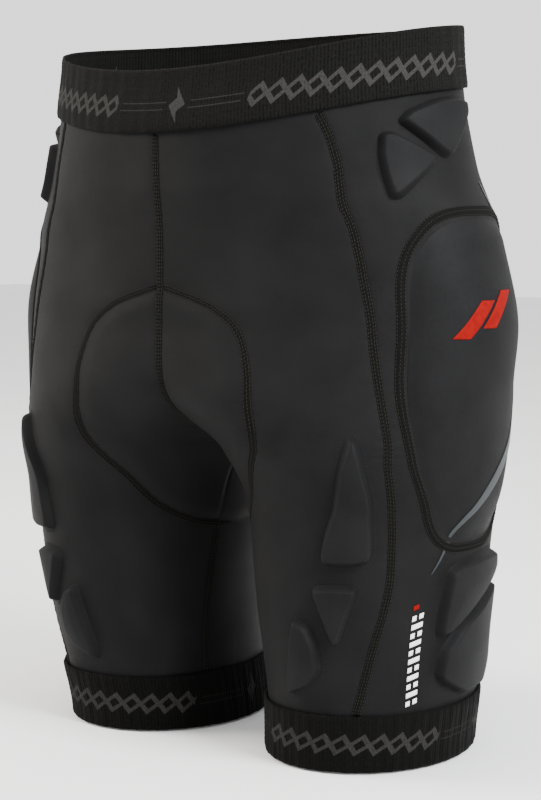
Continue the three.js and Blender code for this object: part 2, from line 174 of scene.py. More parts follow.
def paired(degrees: Array, height: Array) -> list[Array]:
    """Angles and heights as arrays of one shape."""
    return np.broadcast_arrays(np.asarray(degrees, float), np.asarray(height, float))


def lengths(line: Array) -> Array:
    """The distance travelled along a line of points, from 0 at its first."""
    return np.append(0, np.cumsum(np.linalg.norm(np.diff(line, axis=0), axis=1)))


def resampled(at: Array, run: Array, line: Array) -> Array:
    """A line's points, read at some distances along it."""
    return np.stack([np.interp(at, run, column) for column in line.T], -1)


@dataclass(frozen=True)
class BodyForm:
    """The outer face of the worn fabric, as level slices in millimetres.

    Angles go round each leg from its outer side, with -90 in front, and heights are above the hem.
    """

    side_height: float = 474.0
    crotch_height: float = 204.0
    slices: Rows = (
        (0, 86.5, 10, 63.5, 75, 82),
        (38, 90, 8, 64.5, 79, 85),
        (104, 93, 3, 70, 88, 88),
        (170, 94.5, 0, 79.5, 88, 90),
        (204, 87.5, 0, 87.2, 100, 102),
        (249, 45, 0, 132.5, 109, 116),
        (292, 18, 0, 163.5, 105, 121),
        (338, 0, 0, 176.5, 105, 118),
        (386, 0, 0, 160, 108, 108),
        (434, 0, 0, 150, 109, 102),
        (474, 0, 0, 147, 104, 99),
    )
    waist_lift: tuple[float, float, float] = (12.0, -8.0, 7.0)
    lift_zone: tuple[float, float] = (338.0, 434.0)
    seam_reach: float = 12.0
    probe: float = 0.5

    def bare(self, degrees: Array, height: Array) -> Array:
        """Points of the plain form on the wearer's left, in millimetres."""
        degrees, height = paired(degrees, height)
        columns = range(1, 6)
        out, back, half, front, rear = (through(self.slices, height, at) for at in columns)
        s = np.sin(np.radians(degrees))
        tilt, sag, scoop = self.waist_lift
        lift = smooth(height, *self.lift_zone) * (tilt * s + sag * s * s + scoop * s**3)
        x = out + half * np.cos(np.radians(degrees))
        y = back + np.where(s < 0, front, rear) * s
        return np.stack([x, y, height - self.side_height + lift], -1)

    def normal(self, degrees: Array, height: Array) -> Array:
        """The form's outward direction, turned into the middle plane where the halves meet."""
        level = np.clip(height, 1, self.side_height - 1)
        turn = 0.4 * self.probe
        across = self.bare(degrees + turn, level) - self.bare(degrees - turn, level)
        up = self.bare(degrees, level + self.probe) - self.bare(degrees, level - self.probe)
        normal = unit(np.cross(across, up))
        normal[..., 0] *= smooth(np.abs(self.bare(degrees, height)[..., 0]), 0, self.seam_reach)
        return unit(normal)

    def skin(
        self, side: Side, degrees: Array, height: Array, outward: Array | float = 0.0
    ) -> Array:
        """Points at a distance out from the form, in metres.

        Args:
            side: Which half.
            degrees: Angles round the leg.
            height: Heights above the hem.
            outward: Millimetres out from the fabric's face.

        Returns:
            One row of x, y, z for each angle.
        """
        degrees, height = paired(degrees, height)
        reach = np.broadcast_to(np.asarray(outward, float), degrees.shape)[..., None]
        points = self.bare(degrees, height) + self.normal(degrees, height) * reach
        return points * (side.value, 1, 1) * MM

    def facing(self, side: Side, degrees: Array, height: Array) -> Array:
        """The outward direction on one half."""
        return self.normal(*paired(degrees, height)) * (side.value, 1, 1)

    def middle_angle(self, height: Array, gap: Array | float = 0.0) -> Array:
        """The angle where a slice meets the middle plane, or the leg's inner side lower down."""
        out, half = through(self.slices, height, 1), through(self.slices, height, 3)
        return np.degrees(np.arccos(np.clip((gap - out) / half, -1, 1)))

    def per_degree(self, degrees: Array, height: Array) -> Array:
        """Millimetres round the form for one degree."""
        after, before = self.bare(degrees + 0.5, height), self.bare(degrees - 0.5, height)
        return np.linalg.norm(after - before, axis=-1)


FORM = BodyForm()


def spline(points: Rows, count: int) -> Array:
    """Evenly stepped points on a smooth curve through some points.

    Args:
        points: The points it goes through, in two or three columns.
        count: How many points to return.

    Returns:
        The points, first and last included.
    """
    p = np.array(points, float)
    p = np.vstack([2 * p[0] - p[1], p, 2 * p[-1] - p[-2]])
    t = np.linspace(0, len(p) - 3, count)
    i = np.clip(t.astype(int), 0, len(p) - 4)
    f = (t - i)[:, None]
    a, b, c, d = p[i], p[i + 1], p[i + 2], p[i + 3]
    bend, twist = 2 * a - 5 * b + 4 * c - d, 3 * b - a - 3 * c + d
    return 0.5 * (2 * b + (c - a) * f + bend * f**2 + twist * f**3)


@dataclass(frozen=True)
class Route:
    """A line drawn on the form, as angles and heights, with its steps close together."""

    degrees: Array
    height: Array
    closed: bool = False

    @classmethod
    def by_height(
        cls, rows: Rows, low: float, high: float, turn: float = 0.0, count: int = 260
    ) -> "Route":
        """A seam that runs up the form, from rows of [height, angle]."""
        height = np.linspace(low, high, count)
        return cls(through(rows, height) + turn, height)

    def travel(self) -> Array:
        """The direction of the line at each step, in millimetres round and up."""
        scale = FORM.per_degree(self.degrees, self.height)
        if self.closed:
            along = np.roll(self.degrees, -1) - np.roll(self.degrees, 1)
            up = np.roll(self.height, -1) - np.roll(self.height, 1)
        else:
            along, up = np.gradient(self.degrees), np.gradient(self.height)
        return unit(np.stack([along * scale, up], -1))

    def shifted(self, sideways: Array | float) -> tuple[Array, Array]:
        """The angles and heights of the line moved sideways by some millimetres."""
        travel = self.travel()
        scale = FORM.per_degree(self.degrees, self.height)
        degrees = self.degrees - travel[:, 1] * sideways / scale
        height = self.height + travel[:, 0] * sideways
        if self.closed:
            return np.append(degrees, degrees[0]), np.append(height, height[0])
        return degrees, height


# Seams as height and angle, and the seat pad's edge as turn from the leg's inner side and height.
# fmt: off
SIDE_FRONT_SEAM = (
    (38, -59.5), (50, -57), (68, -53), (89, -48.5), (108, -45), (130, -43.1), (153, -43.8),
    (175, -45.4), (198, -43.8), (220, -41.3), (242, -40.4), (284, -42.2), (322, -42.2),
    (344, -43.4), (362, -44.4), (380, -43.2), (395, -42.6), (416, -43.4), (442, -46.5),
)
SIDE_REAR_SEAM = ((38, 58), (90, 50), (135, 47), (190, 48), (250, 46), (380, 48), (442, 50))
INSEAM_TURN = ((0, 22), (50, 20), (120, 14), (184, 9), (204, 0))
SEAT_PAD_EDGE = (
    (0, 141), (25, 147), (45, 161), (62, 184), (80, 208),
    (94, 230), (102, 252), (104, 280), (99, 297), (89.5, 308),
)
# fmt: on
SEAT_EDGE_LINE = spline(SEAT_PAD_EDGE, 90)


def inside(outline: Array, x: Array, y: Array) -> Array:
    """Whether each point lies within a closed outline."""
    found = np.zeros(np.shape(x), bool)
    for (x0, y0), (x1, y1) in zip(outline, np.roll(outline, -1, 0)):
        if y0 == y1:
            continue
        crosses = (y0 > y) != (y1 > y)
        found ^= crosses & (x < (x1 - x0) * (y - y0) / (y1 - y0) + x0)
    return found


def edge_distance(outline: Array, x: Array, y: Array, closed: bool = True) -> Array:
    """The distance from each point to an outline's nearest side."""
    ends = np.roll(outline, -1, 0) if closed else outline[1:]
    best = np.full(np.shape(x), FAR)
    for (x0, y0), (x1, y1) in zip(outline, ends):
        length = max((x1 - x0) ** 2 + (y1 - y0) ** 2, 1e-9)
        t = np.clip(((x - x0) * (x1 - x0) + (y - y0) * (y1 - y0)) / length, 0, 1)
        best = np.minimum(best, np.hypot(x - x0 - t * (x1 - x0), y - y0 - t * (y1 - y0)))
    return best


@dataclass(frozen=True)
class WornCloth:
    """How the worn fabric departs from the plain form: grooves, puckers, the seat pad and waves."""

    groove_depth: float = 0.55
    groove_width: float = 3.0
    pucker: float = 0.16
    pucker_reach: float = 7.0
    pucker_rate: float = 1.05
    wander: float = 1.7
    wander_rate: float = 0.21
    pad_rise: float = 1.5
    pad_shoulder: float = 11.0
    leg_scale: float = 1.6
    wave: float = 0.45
    waves: Rows = ((1.0, 29, 19, 0.0), (1.0, 17, -23, 1.3), (0.6, 11, 13, 0.6))
    wave_foot: tuple[float, float] = (30.0, 70.0)
    wave_top: tuple[float, float] = (380.0, 432.0)
    wave_centre: float = 25.0

    def relief(self, degrees: Array, height: Array) -> Array:
        """Millimetres that the fabric stands off the form at each angle and height."""
        degrees, height = paired(degrees, height)
        scale = FORM.per_degree(degrees, height)
        turn = 180 - np.abs((degrees + 180) % 360 - 180)
        above = height > FORM.crotch_height
        centre = np.where(above, np.abs(FORM.bare(degrees, height)[..., 0]), FAR)
        front = np.abs(degrees - through(SIDE_FRONT_SEAM, height)) * scale
        rear = np.abs(degrees - through(SIDE_REAR_SEAM, height)) * scale
        line = SEAT_EDGE_LINE * (self.leg_scale, 1)
        edge = edge_distance(line, turn * self.leg_scale, height, closed=False)
        top, foot = SEAT_PAD_EDGE[-1][1], SEAT_PAD_EDGE[0][1]
        within = inside(np.vstack([SEAT_EDGE_LINE, [[0, top], [0, foot]]]), turn, height)
        lift = np.zeros(degrees.shape)
        for number, distance in enumerate((centre, front, rear, edge)):
            lift -= self.groove_depth * np.exp(-((distance / self.groove_width) ** 2))
            wander = np.sin(height * self.wander_rate + number) * self.wander
            ripple = np.sin(height * (self.pucker_rate + 0.07 * number) + wander)
            lift += self.pucker * ripple * np.exp(-((distance / self.pucker_reach) ** 2))
        lift += within * self.pad_rise * smooth(edge, 0, self.pad_shoulder)
        soft = sum(
            share * np.sin(height / rise + degrees / round_ + start)
            for share, rise, round_, start in self.waves
        )
        fade = smooth(height, *self.wave_foot) * (1 - smooth(height, *self.wave_top))
        return lift + self.wave * 0.5 * soft * fade * smooth(centre, 0, self.wave_centre)

    def at(self, side: Side, degrees: Array, height: Array, outward: Array | float = 0.0) -> Array:
        """Points on the worn fabric, in metres, moved out by some millimetres."""
        return FORM.skin(side, degrees, height, self.relief(degrees, height) + outward)


CLOTH = WornCloth()


# ---- Making meshes ----


@dataclass
class Placed:
    """Where a grid's vertices go: points and outward directions, with a flat place on the cloth."""

    points: Array
    outward: Array
    flat: Array


def deselect() -> None:
    """Leaves every object unselected, in object mode."""
    if bpy.context.object and bpy.context.object.mode != "OBJECT":
        bpy.ops.object.mode_set(mode="OBJECT")
    bpy.ops.object.select_all(action="DESELECT")


def activate(piece: Piece) -> None:
    """Selects one object and makes it the active one."""
    deselect()
    piece.select_set(True)
    bpy.context.view_layer.objects.active = piece


def read_points(mesh: bpy.types.Mesh) -> Array:
    """A mesh's vertices as rows of x, y, z."""
    points = np.zeros(len(mesh.vertices) * 3, np.float32)
    mesh.vertices.foreach_get("co", points)
    return points.reshape(-1, 3).astype(float)


def write_points(mesh: bpy.types.Mesh, points: Array) -> None:
    """Moves a mesh's vertices to rows of x, y, z."""
    mesh.vertices.foreach_set("co", np.ascontiguousarray(points, np.float32).ravel())
    mesh.update()


def apply_modifier(piece: Piece, kind: str, **values: object) -> None:
    """Adds a modifier with some values and applies it."""
    activate(piece)
    bpy.ops.object.modifier_add(type=kind)
    modifier = piece.modifiers[-1]
    for key, value in values.items():
        setattr(modifier, key, value)
    bpy.ops.object.modifier_apply(modifier=modifier.name)


def reshape(operator: Callable[..., object], **values: object) -> None:
    """Runs one edit-mode operator on the whole of the active object."""
    bpy.ops.object.mode_set(mode="EDIT")
    bpy.ops.mesh.select_all(action="SELECT")
    operator(**values)
    bpy.ops.object.mode_set(mode="OBJECT")


def add_wall(piece: Piece, thick_mm: float, inwards: bool = True) -> None:
    """Gives a sheet its thickness, behind its face or in front of it."""
    side = -1.0 if inwards else 1.0
    apply_modifier(
        piece, "SOLIDIFY", thickness=thick_mm * MM, offset=side, use_even_offset=False, use_rim=True
    )


def bent_grid(name: str, columns: int, rows: int, place: Place, join: bool = False) -> Piece:
    """Adds a flat grid and bends it into place.

    Args:
        name: The new object's name.
        columns: Cells across.
        rows: Cells up.
        place: Gives each vertex its place from its shares across and up.
        join: Merges the edges or poles that meet.

    Returns:
        The bent sheet, with its faces outwards and a UV map of flat metres.
    """
    deselect()
    bpy.ops.mesh.primitive_grid_add(x_subdivisions=columns, y_subdivisions=rows, size=1)
    piece = bpy.context.active_object
    piece.name = name
    piece.data.name = name
    mesh = piece.data
    start = read_points(mesh)
    placed = place(start[:, 0] + 0.5, start[:, 1] + 0.5)
    loops = np.zeros(len(mesh.loops), np.int32)
    mesh.loops.foreach_get("vertex_index", loops)
    flat = np.ascontiguousarray(placed.flat[loops], np.float32)
    mesh.uv_layers[0].data.foreach_set("uv", flat.ravel())
    write_points(mesh, placed.points)
    normals = np.zeros(len(mesh.vertices) * 3, np.float32)
    mesh.vertices.foreach_get("normal", normals)
    if (normals.reshape(-1, 3) * placed.outward).sum() < 0:
        reshape(bpy.ops.mesh.flip_normals)
    if join:
        reshape(bpy.ops.mesh.remove_doubles, threshold=JOIN_REACH)
    bpy.ops.object.shade_smooth()
    return piece


def strip(
    name: str, side: Side, route: Route, width: float, crown: Callable[[Array], Array]
) -> Piece:
    """Lays a strip of cloth along a route on the worn fabric.

    Args:
        name: The new object's name.
        side: Which half it lies on.
        route: Its middle line.
        width: Its width in millimetres.
        crown: Millimetres off the fabric for each share from -1 to 1 across.

    Returns:
        The strip.
    """
    steps = len(route.degrees) - 1 + route.closed
    stations = np.arange(steps + 1)

    def place(across: Array, along: Array) -> Placed:
        """A vertex across and along the strip."""
        share = across * 2 - 1
        at = along * stations[-1]
        degrees, height = np.zeros(len(at)), np.zeros(len(at))
        for level in np.unique(share.round(6)):
            row = np.isclose(share, level, atol=1e-5)
            turned, raised = route.shifted(level * width / 2)
            degrees[row] = np.interp(at[row], stations, turned)
            height[row] = np.interp(at[row], stations, raised)
        points = CLOTH.at(side, degrees, height, crown(share))
        flat = np.stack([share * width / 2, at], -1) * MM
        return Placed(points, FORM.facing(side, degrees, height), flat)

    return bent_grid(name, STRIP_COLUMNS, steps, place, join=route.closed)


@dataclass
class StitchShape:
    """One stitch, modelled once: a short fat thread whose ends dip into the cloth."""

    sides: int = 6
    rings: int = 4
    dip: float = 0.9
    points: Array = field(default_factory=lambda: np.zeros((0, 3)))
    faces: list[tuple[int, ...]] = field(default_factory=list)

    def model(self) -> "StitchShape":
        """Makes the stitch from a sphere drawn out along X, and keeps its points and faces."""
        deselect()
        bpy.ops.mesh.primitive_uv_sphere_add(segments=self.sides, ring_count=self.rings, radius=0.5)
        pattern = bpy.context.active_object
        points = read_points(pattern.data)[:, [2, 1, 0]]
        points[:, 2] -= self.dip * points[:, 0] ** 2
        self.points = points
        self.faces = [tuple(reversed(face.vertices)) for face in pattern.data.polygons]
        bpy.data.objects.remove(pattern, do_unlink=True)
        return self


STITCH = StitchShape()


@dataclass(frozen=True)
class Sewing:
    """A row of stitches beside a seam: where it runs and how it is laid, in millimetres."""

    sideways: float
    pitch: float = 2.4
    length: float = 1.9
    width: float = 0.55
    slant: float = 0.0
    lift: float = 0.25
    zigzag: int = -1


SEAM_STITCH = Sewing(0.0, pitch=2.3, length=1.85, width=0.62)
STITCH_LIFT = 0.12
OUTER_SLANT, MIDDLE_SLANT = 9.0, 24.0
Run = tuple[Array, Array, Sewing]


def stitch_mesh(name: str, runs: Sequence[Run]) -> Piece:
    """Copies the stitch along some lines, and makes one piece with its faces outwards.

    Args:
        name: The new object's name.
        runs: For each row, its points in metres, the outward directions there, and its sewing.

    Returns:
        All the stitches as one mesh.
    """
    points: list[Array] = []
    faces: list[tuple[int, ...]] = []
    size = len(STITCH.points)
    first = 0
    for line, up, row in runs:
        run = lengths(line)
        count = max(1, int(run[-1] / (row.pitch * MM)))
        at = (np.arange(count) + 0.5) * run[-1] / count
        centre = resampled(at, run, line)
        normal = unit(resampled(at, run, up))
        tangent = unit(resampled(at, run, np.gradient(line, axis=0)))
        across = unit(np.cross(normal, tangent))
        slant = math.radians(row.slant) * np.where(np.arange(count) % 2, 1, row.zigzag)[:, None]
        ahead = tangent * np.cos(slant) + across * np.sin(slant)
        beside = np.cross(normal, ahead)
        axes = np.stack([ahead * row.length, beside * row.width, normal * row.width], 1) * MM
        made = centre[:, None, :] + np.einsum("vk,nkj->nvj", STITCH.points, axes)
        points.append(made.reshape(-1, 3))
        starts = range(first, first + count * size, size)
        faces += [tuple(start + i for i in face) for start in starts for face in STITCH.faces]
        first += count * size
    mesh = bpy.data.meshes.new(name)
    mesh.from_pydata(np.vstack(points).tolist(), [], faces)
    piece = bpy.data.objects.new(name, mesh)
    bpy.context.scene.collection.objects.link(piece)
    activate(piece)
    reshape(bpy.ops.mesh.normals_make_consistent, inside=False)
    bpy.ops.object.shade_smooth()
    return piece


def sew(name: str, side: Side, route: Route, rows: Sequence[Sewing]) -> Piece:
    """Copies the stitch along a route on the worn cloth, in one or more rows.

    Args:
        name: The new object's name.
        side: Which half it lies on.
        route: The seam's middle line.
        rows: The rows of stitches.

    Returns:
        All the stitches as one mesh.
    """
    runs = []
    for row in rows:
        degrees, height = route.shifted(row.sideways)
        line = CLOTH.at(side, degrees, height, row.lift)
        runs.append((line, FORM.facing(side, degrees, height), row))
    return stitch_mesh(name, runs)


# ---- Finishes ----

Socket = bpy.types.NodeSocket
Tree = bpy.types.NodeTree
Value = "Socket | float | tuple[float, ...]"
Tint = tuple[float, float, float, float]
FLOAT, VECTOR = "NodeSocketFloat", "NodeSocketVector"


class NodeBench:
    """Adds shader nodes to one tree and links them."""

    def __init__(self, tree: Tree) -> None:
        """Works on a tree that is already empty."""
        self.tree = tree

    def node(
        self, kind: str, values: dict[object, object] | None = None, **settings: object
    ) -> bpy.types.Node:
        """Adds a node.

        Args:
            kind: The node's type.
            values: Input name or number to a value, or a socket to link.
            settings: The node's own settings.

        Returns:
            The node.
        """
        made = self.tree.nodes.new(kind)
        for key, value in settings.items():
            setattr(made, key, value)
        for key, value in (values or {}).items():
            if isinstance(value, Socket):
                self.tree.links.new(value, made.inputs[key])
            else:
                made.inputs[key].default_value = value
        return made

    def math(self, operation: str, *values: Value) -> Socket:
        """A Math node's result."""
        made = self.node("ShaderNodeMath", dict(enumerate(values)), operation=operation)
        return made.outputs[0]

    def plus(self, first: Value, second: Value) -> Socket:
        """Two values added."""
        return self.math("ADD", first, second)

    def times(self, first: Value, second: Value) -> Socket:
        """Two values multiplied."""
        return self.math("MULTIPLY", first, second)

    def plain(self, value: Value) -> Socket:
        """A value without its sign."""
        return self.math("ABSOLUTE", value)

    def wave(self, phase: Value) -> Socket:
        """A sine wave's value at a phase."""
        return self.math("SINE", phase)

    def between(
        self, value: Value, low: float, high: float, start: float = 0.0, end: float = 1.0
    ) -> Socket:
        """A value carried from one range to another, and held at its ends."""
        made = self.node("ShaderNodeMapRange", {0: value, 1: low, 2: high, 3: start, 4: end})
        return made.outputs[0]

    def mixed(self, share: Value, first: Value, second: Value) -> Socket:
        """One colour turned into another by a share."""
        made = self.node("ShaderNodeMix", {0: share, 6: first, 7: second}, data_type="RGBA")
        return made.outputs[2]

    def noise(self, vector: Socket, scale: float, detail: float = 3.0) -> Socket:
        """A noise value over a place."""
        values = {"Vector": vector, "Scale": scale, "Detail": detail}
        return self.node("ShaderNodeTexNoise", values).outputs[0]

    def apart(self, vector: Socket) -> Sequence[Socket]:
        """A vector's three numbers."""
        return self.node("ShaderNodeSeparateXYZ", {0: vector}).outputs

    def shared(self, tree: Tree, values: dict[object, object]) -> Sequence[Socket]:
        """Places a shared node group, and gives what it puts out."""
        return self.node("ShaderNodeGroup", values, node_tree=tree).outputs


def start_group(name: str, inputs: dict[str, str], outputs: Sequence[str]) -> NodeBench:
    """Starts a shader node group with named sockets.

    Args:
        name: The group's name.
        inputs: Input name to socket type.
        outputs: The names of the values that it puts out.

    Returns:
        A bench to build it with.
    """
    tree = bpy.data.node_groups.new(name, "ShaderNodeTree")
    for key, kind in inputs.items():
        tree.interface.new_socket(name=key, in_out="INPUT", socket_type=kind)
    for key in outputs:
        tree.interface.new_socket(name=key, in_out="OUTPUT", socket_type=FLOAT)
    return NodeBench(tree)


def knit_group() -> Tree:
    """Fine jersey: wales and courses of small loops, with a broken tone where the yarn varies."""
    bench = start_group("Jersey Knit", {"Place": VECTOR, "Wale": FLOAT}, ["Height", "Tone"])
    place, wale = bench.node("NodeGroupInput").outputs[:2]
    u, v, _ = bench.apart(place)
    across = bench.times(bench.math("DIVIDE", u, wale), math.pi)
    course = bench.times(bench.math("DIVIDE", v, wale), math.pi * 1.35)
    lean = bench.times(bench.wave(bench.times(across, 2.0)), 0.8)
    loops = bench.times(bench.wave(across), bench.wave(bench.plus(course, lean)))
    yarn = bench.noise(place, 420.0, 4.0)
    cloudy = bench.noise(place, 26.0, 3.0)
    height = bench.plus(bench.plain(loops), bench.times(yarn, 0.7))
    tone = bench.plus(bench.times(cloudy, 0.65), bench.times(yarn, 0.35))
    bench.node("NodeGroupOutput", {"Height": height, "Tone": tone})
    return bench.tree


def lozenge_group() -> Tree:
    """A woven chain of hollow slanted lozenges, a solid one between chains, and thin lines."""
    sizes = dict.fromkeys(("Period", "Reach", "Middle", "Size"), FLOAT)
    bench = start_group("Woven Lozenges", {"Place": VECTOR, **sizes}, ["Mask"])
    place, period, reach, middle, size = bench.node("NodeGroupInput").outputs[:5]
    u, v, _ = bench.apart(place)
    rise = bench.math("SUBTRACT", v, middle)
    half = bench.times(period, 0.5)
    turned = bench.math("FLOORED_MODULO", bench.plus(u, half), period)
    along = bench.math("SUBTRACT", turned, half)
    slanted = bench.math("SUBTRACT", along, bench.times(rise, 0.45))
    off = bench.plain(slanted)
    pitch = bench.times(size, 1.55)
    stepped = bench.math("FLOORED_MODULO", slanted, pitch)
    cell = bench.math("SUBTRACT", stepped, bench.times(pitch, 0.5))
    high = bench.math("DIVIDE", bench.plain(rise), size)
    spread = bench.plus(bench.math("DIVIDE", bench.plain(cell), size), high)
    ring = bench.math("COMPARE", spread, 0.74, 0.26)
    chain = bench.times(ring, bench.math("LESS_THAN", off, reach))
    far = bench.math("SUBTRACT", half, off)
    lone = bench.math("LESS_THAN", bench.plus(bench.math("DIVIDE", far, size), high), 0.8)
    steps = bench.math("PINGPONG", bench.plus(rise, 0.02), 0.0022)
    lines = bench.math("LESS_THAN", steps, 0.00035)
    low = bench.math("LESS_THAN", bench.plain(rise), bench.times(size, 0.62))
    beside = bench.math("GREATER_THAN", off, bench.plus(reach, 0.004))
    outside = bench.math("GREATER_THAN", far, bench.times(size, 1.2))
    lined = bench.times(bench.times(lines, low), bench.times(beside, outside))
    mask = bench.math("MAXIMUM", bench.math("MAXIMUM", chain, lone), bench.times(lined, 0.55))
    bench.node("NodeGroupOutput", {"Mask": mask})
    return bench.tree


def rib_group() -> Tree:
    """Ribbed elastic: raised warp ribs crossed by fine weft, each rib a little uneven, with painted
    shade darkening the grooves between ribs and darker woven cross rows.
    """
    bench = start_group("Elastic Rib", {"Place": VECTOR, "Pitch": FLOAT}, ["Height", "Groove"])
    place, pitch = bench.node("NodeGroupInput").outputs[:2]
    u, v, _ = bench.apart(place)
    wobble = bench.times(bench.noise(place, 240.0, 2.0), 0.9)
    phase = bench.plus(bench.times(bench.math("DIVIDE", u, pitch), math.pi), wobble)
    rib = bench.plain(bench.wave(phase))
    weft = bench.plain(bench.wave(bench.times(v, math.pi / 0.0011)))
    height = bench.plus(rib, bench.times(weft, 0.35))
    broken = bench.between(bench.noise(place, 520.0, 3.0), 0.35, 0.6)
    # Painted shade: the colour is darkened in the grooves between the ribs, broken up by noise.
    groove_shade_and_rows = bench.times(bench.math("SUBTRACT", 1.0, rib), broken)
    # Darker woven cross rows, the elastic's own pattern, join the painted groove shade.
    row = bench.plain(bench.wave(bench.times(v, math.pi / 0.0042)))
    crossed = bench.times(bench.between(row, 0.2, 0.0), 0.6)
    groove_shade_and_rows = bench.math("MAXIMUM", groove_shade_and_rows, crossed)
    bench.node("NodeGroupOutput", {"Height": height, "Groove": groove_shade_and_rows})
    return bench.tree


@dataclass
class Coat:
    """What feeds a finish's shader: a colour, a roughness, a relief, and its plain values."""

    colour: Socket
    rough: Socket
    height: Socket
    strength: float
    distance: float
    values: dict[str, object]


@dataclass(frozen=True)
class Finish:
    """What every finish has: a name, its slot in the record, and its two tones."""

    name: str
    slot: str
    dark: Tint
    light: Tint

    def coat(self, bench: NodeBench, groups: dict[str, Tree]) -> Coat:
        """What feeds the shader, given by each kind of finish."""
        raise NotImplementedError

    def build(self, groups: dict[str, Tree]) -> bpy.types.Material:
        """Makes the material, with one Principled shader.

        Args:
            groups: The shared node groups, by name.

        Returns:
            The material.
        """
        material = bpy.data.materials.new(self.name)
        material.use_nodes = True
        material.node_tree.nodes.clear()
        bench = NodeBench(material.node_tree)
        coat = self.coat(bench, groups)
        relief = {"Height": coat.height, "Strength": coat.strength, "Distance": coat.distance}
        normal = bench.node("ShaderNodeBump", relief).outputs[0]
        fed = {"Base Color": coat.colour, "Roughness": coat.rough, "Normal": normal}
        shader = bench.node("ShaderNodeBsdfPrincipled", {**fed, **coat.values})
        bench.node("ShaderNodeOutputMaterial", {0: shader.outputs[0]})
        return material


@dataclass(frozen=True)
class KnitFinish(Finish):
    """Dark stretch jersey with a soft sheen."""

    rough: float
    sheen: float
    wale: float = 0.00062
    bump: float = 0.25

    def coat(self, bench: NodeBench, groups: dict[str, Tree]) -> Coat:
        """Loops of yarn on the piece's own flat place."""
        place = bench.node("ShaderNodeUVMap").outputs[0]
        cloth = bench.shared(groups["knit"], {"Place": place, "Wale": self.wale})
        tone = bench.between(cloth["Tone"], 0.3, 0.7)
        colour = bench.mixed(tone, self.dark, self.light)
        rough = bench.between(tone, 0, 1, self.rough + 0.05, self.rough - 0.05)
        plain = {
            "Sheen Weight": self.sheen,
            "Sheen Roughness": 0.4,
            "Sheen Tint": (0.86, 0.84, 0.82, 1),
            "Specular IOR Level": 0.05,
        }
        return Coat(colour, rough, cloth["Height"], self.bump, 0.0002, plain)


@dataclass(frozen=True)
class ElasticFinish(Finish):
    """Ribbed elastic with a paler woven chain of lozenges, and painted shade in the grooves between
    its ribs.
    """

    woven: Tint
    period: float
    reach: float
    middle: float
    size: float = 0.0078
    pitch: float = 0.0023

    def coat(self, bench: NodeBench, groups: dict[str, Tree]) -> Coat:
        """Ribs with painted shade in their grooves, and the chain woven over them."""
        place = bench.node("ShaderNodeUVMap").outputs[0]
        ribs = bench.shared(groups["rib"], {"Place": place, "Pitch": self.pitch})
        sizes = {"Period": self.period, "Reach": self.reach, "Middle": self.middle}
        chain = bench.shared(groups["lozenge"], {"Place": place, "Size": self.size, **sizes})
        fleck = bench.noise(place, 900.0, 2.0)
        shown = bench.times(chain["Mask"], bench.between(fleck, 0.3, 0.55, 0.45, 1.0))
        # Painted shade: the groove mask darkens the colour between the ribs; its cross rows are
        # woven.
        cloth = bench.mixed(ribs["Groove"], self.light, self.dark)
        colour = bench.mixed(shown, cloth, self.woven)
        rough = bench.between(fleck, 0.2, 0.8, 0.75, 0.95)
        raised = bench.plus(ribs["Height"], bench.times(shown, 0.6))
        plain = {"Sheen Weight": 0.012, "Sheen Roughness": 0.5, "Specular IOR Level": 0.03}
        return Coat(colour, rough, raised, 0.55, 0.0004, plain)


@dataclass(frozen=True)
class GrainFinish(Finish):
    """Thread, film, print or silicone: two tones broken by a grain, with its own gloss."""

    rough: float
    grain: float
    bump: float = 0.2
    metallic: float = 0.0
    specular: float = 0.1

    def coat(self, bench: NodeBench, groups: dict[str, Tree]) -> Coat:
        """A grain over the piece's own place."""
        place = bench.node("ShaderNodeTexCoord").outputs["Object"]
        grain = bench.noise(place, self.grain, 4.0)
        colour = bench.mixed(bench.between(grain, 0.32, 0.68), self.dark, self.light)
        rough = bench.between(grain, 0.2, 0.8, self.rough - 0.08, self.rough + 0.08)
        plain = {"Metallic": self.metallic, "Specular IOR Level": self.specular}
        return Coat(colour, rough, grain, self.bump, 0.0002, plain)


# The painted shade in the elastics' rib grooves, and the colour of their darker woven cross rows.
ELASTIC_GROOVE_SHADE_AND_ROWS: Tint = (0.0008, 0.0008, 0.0007, 1)
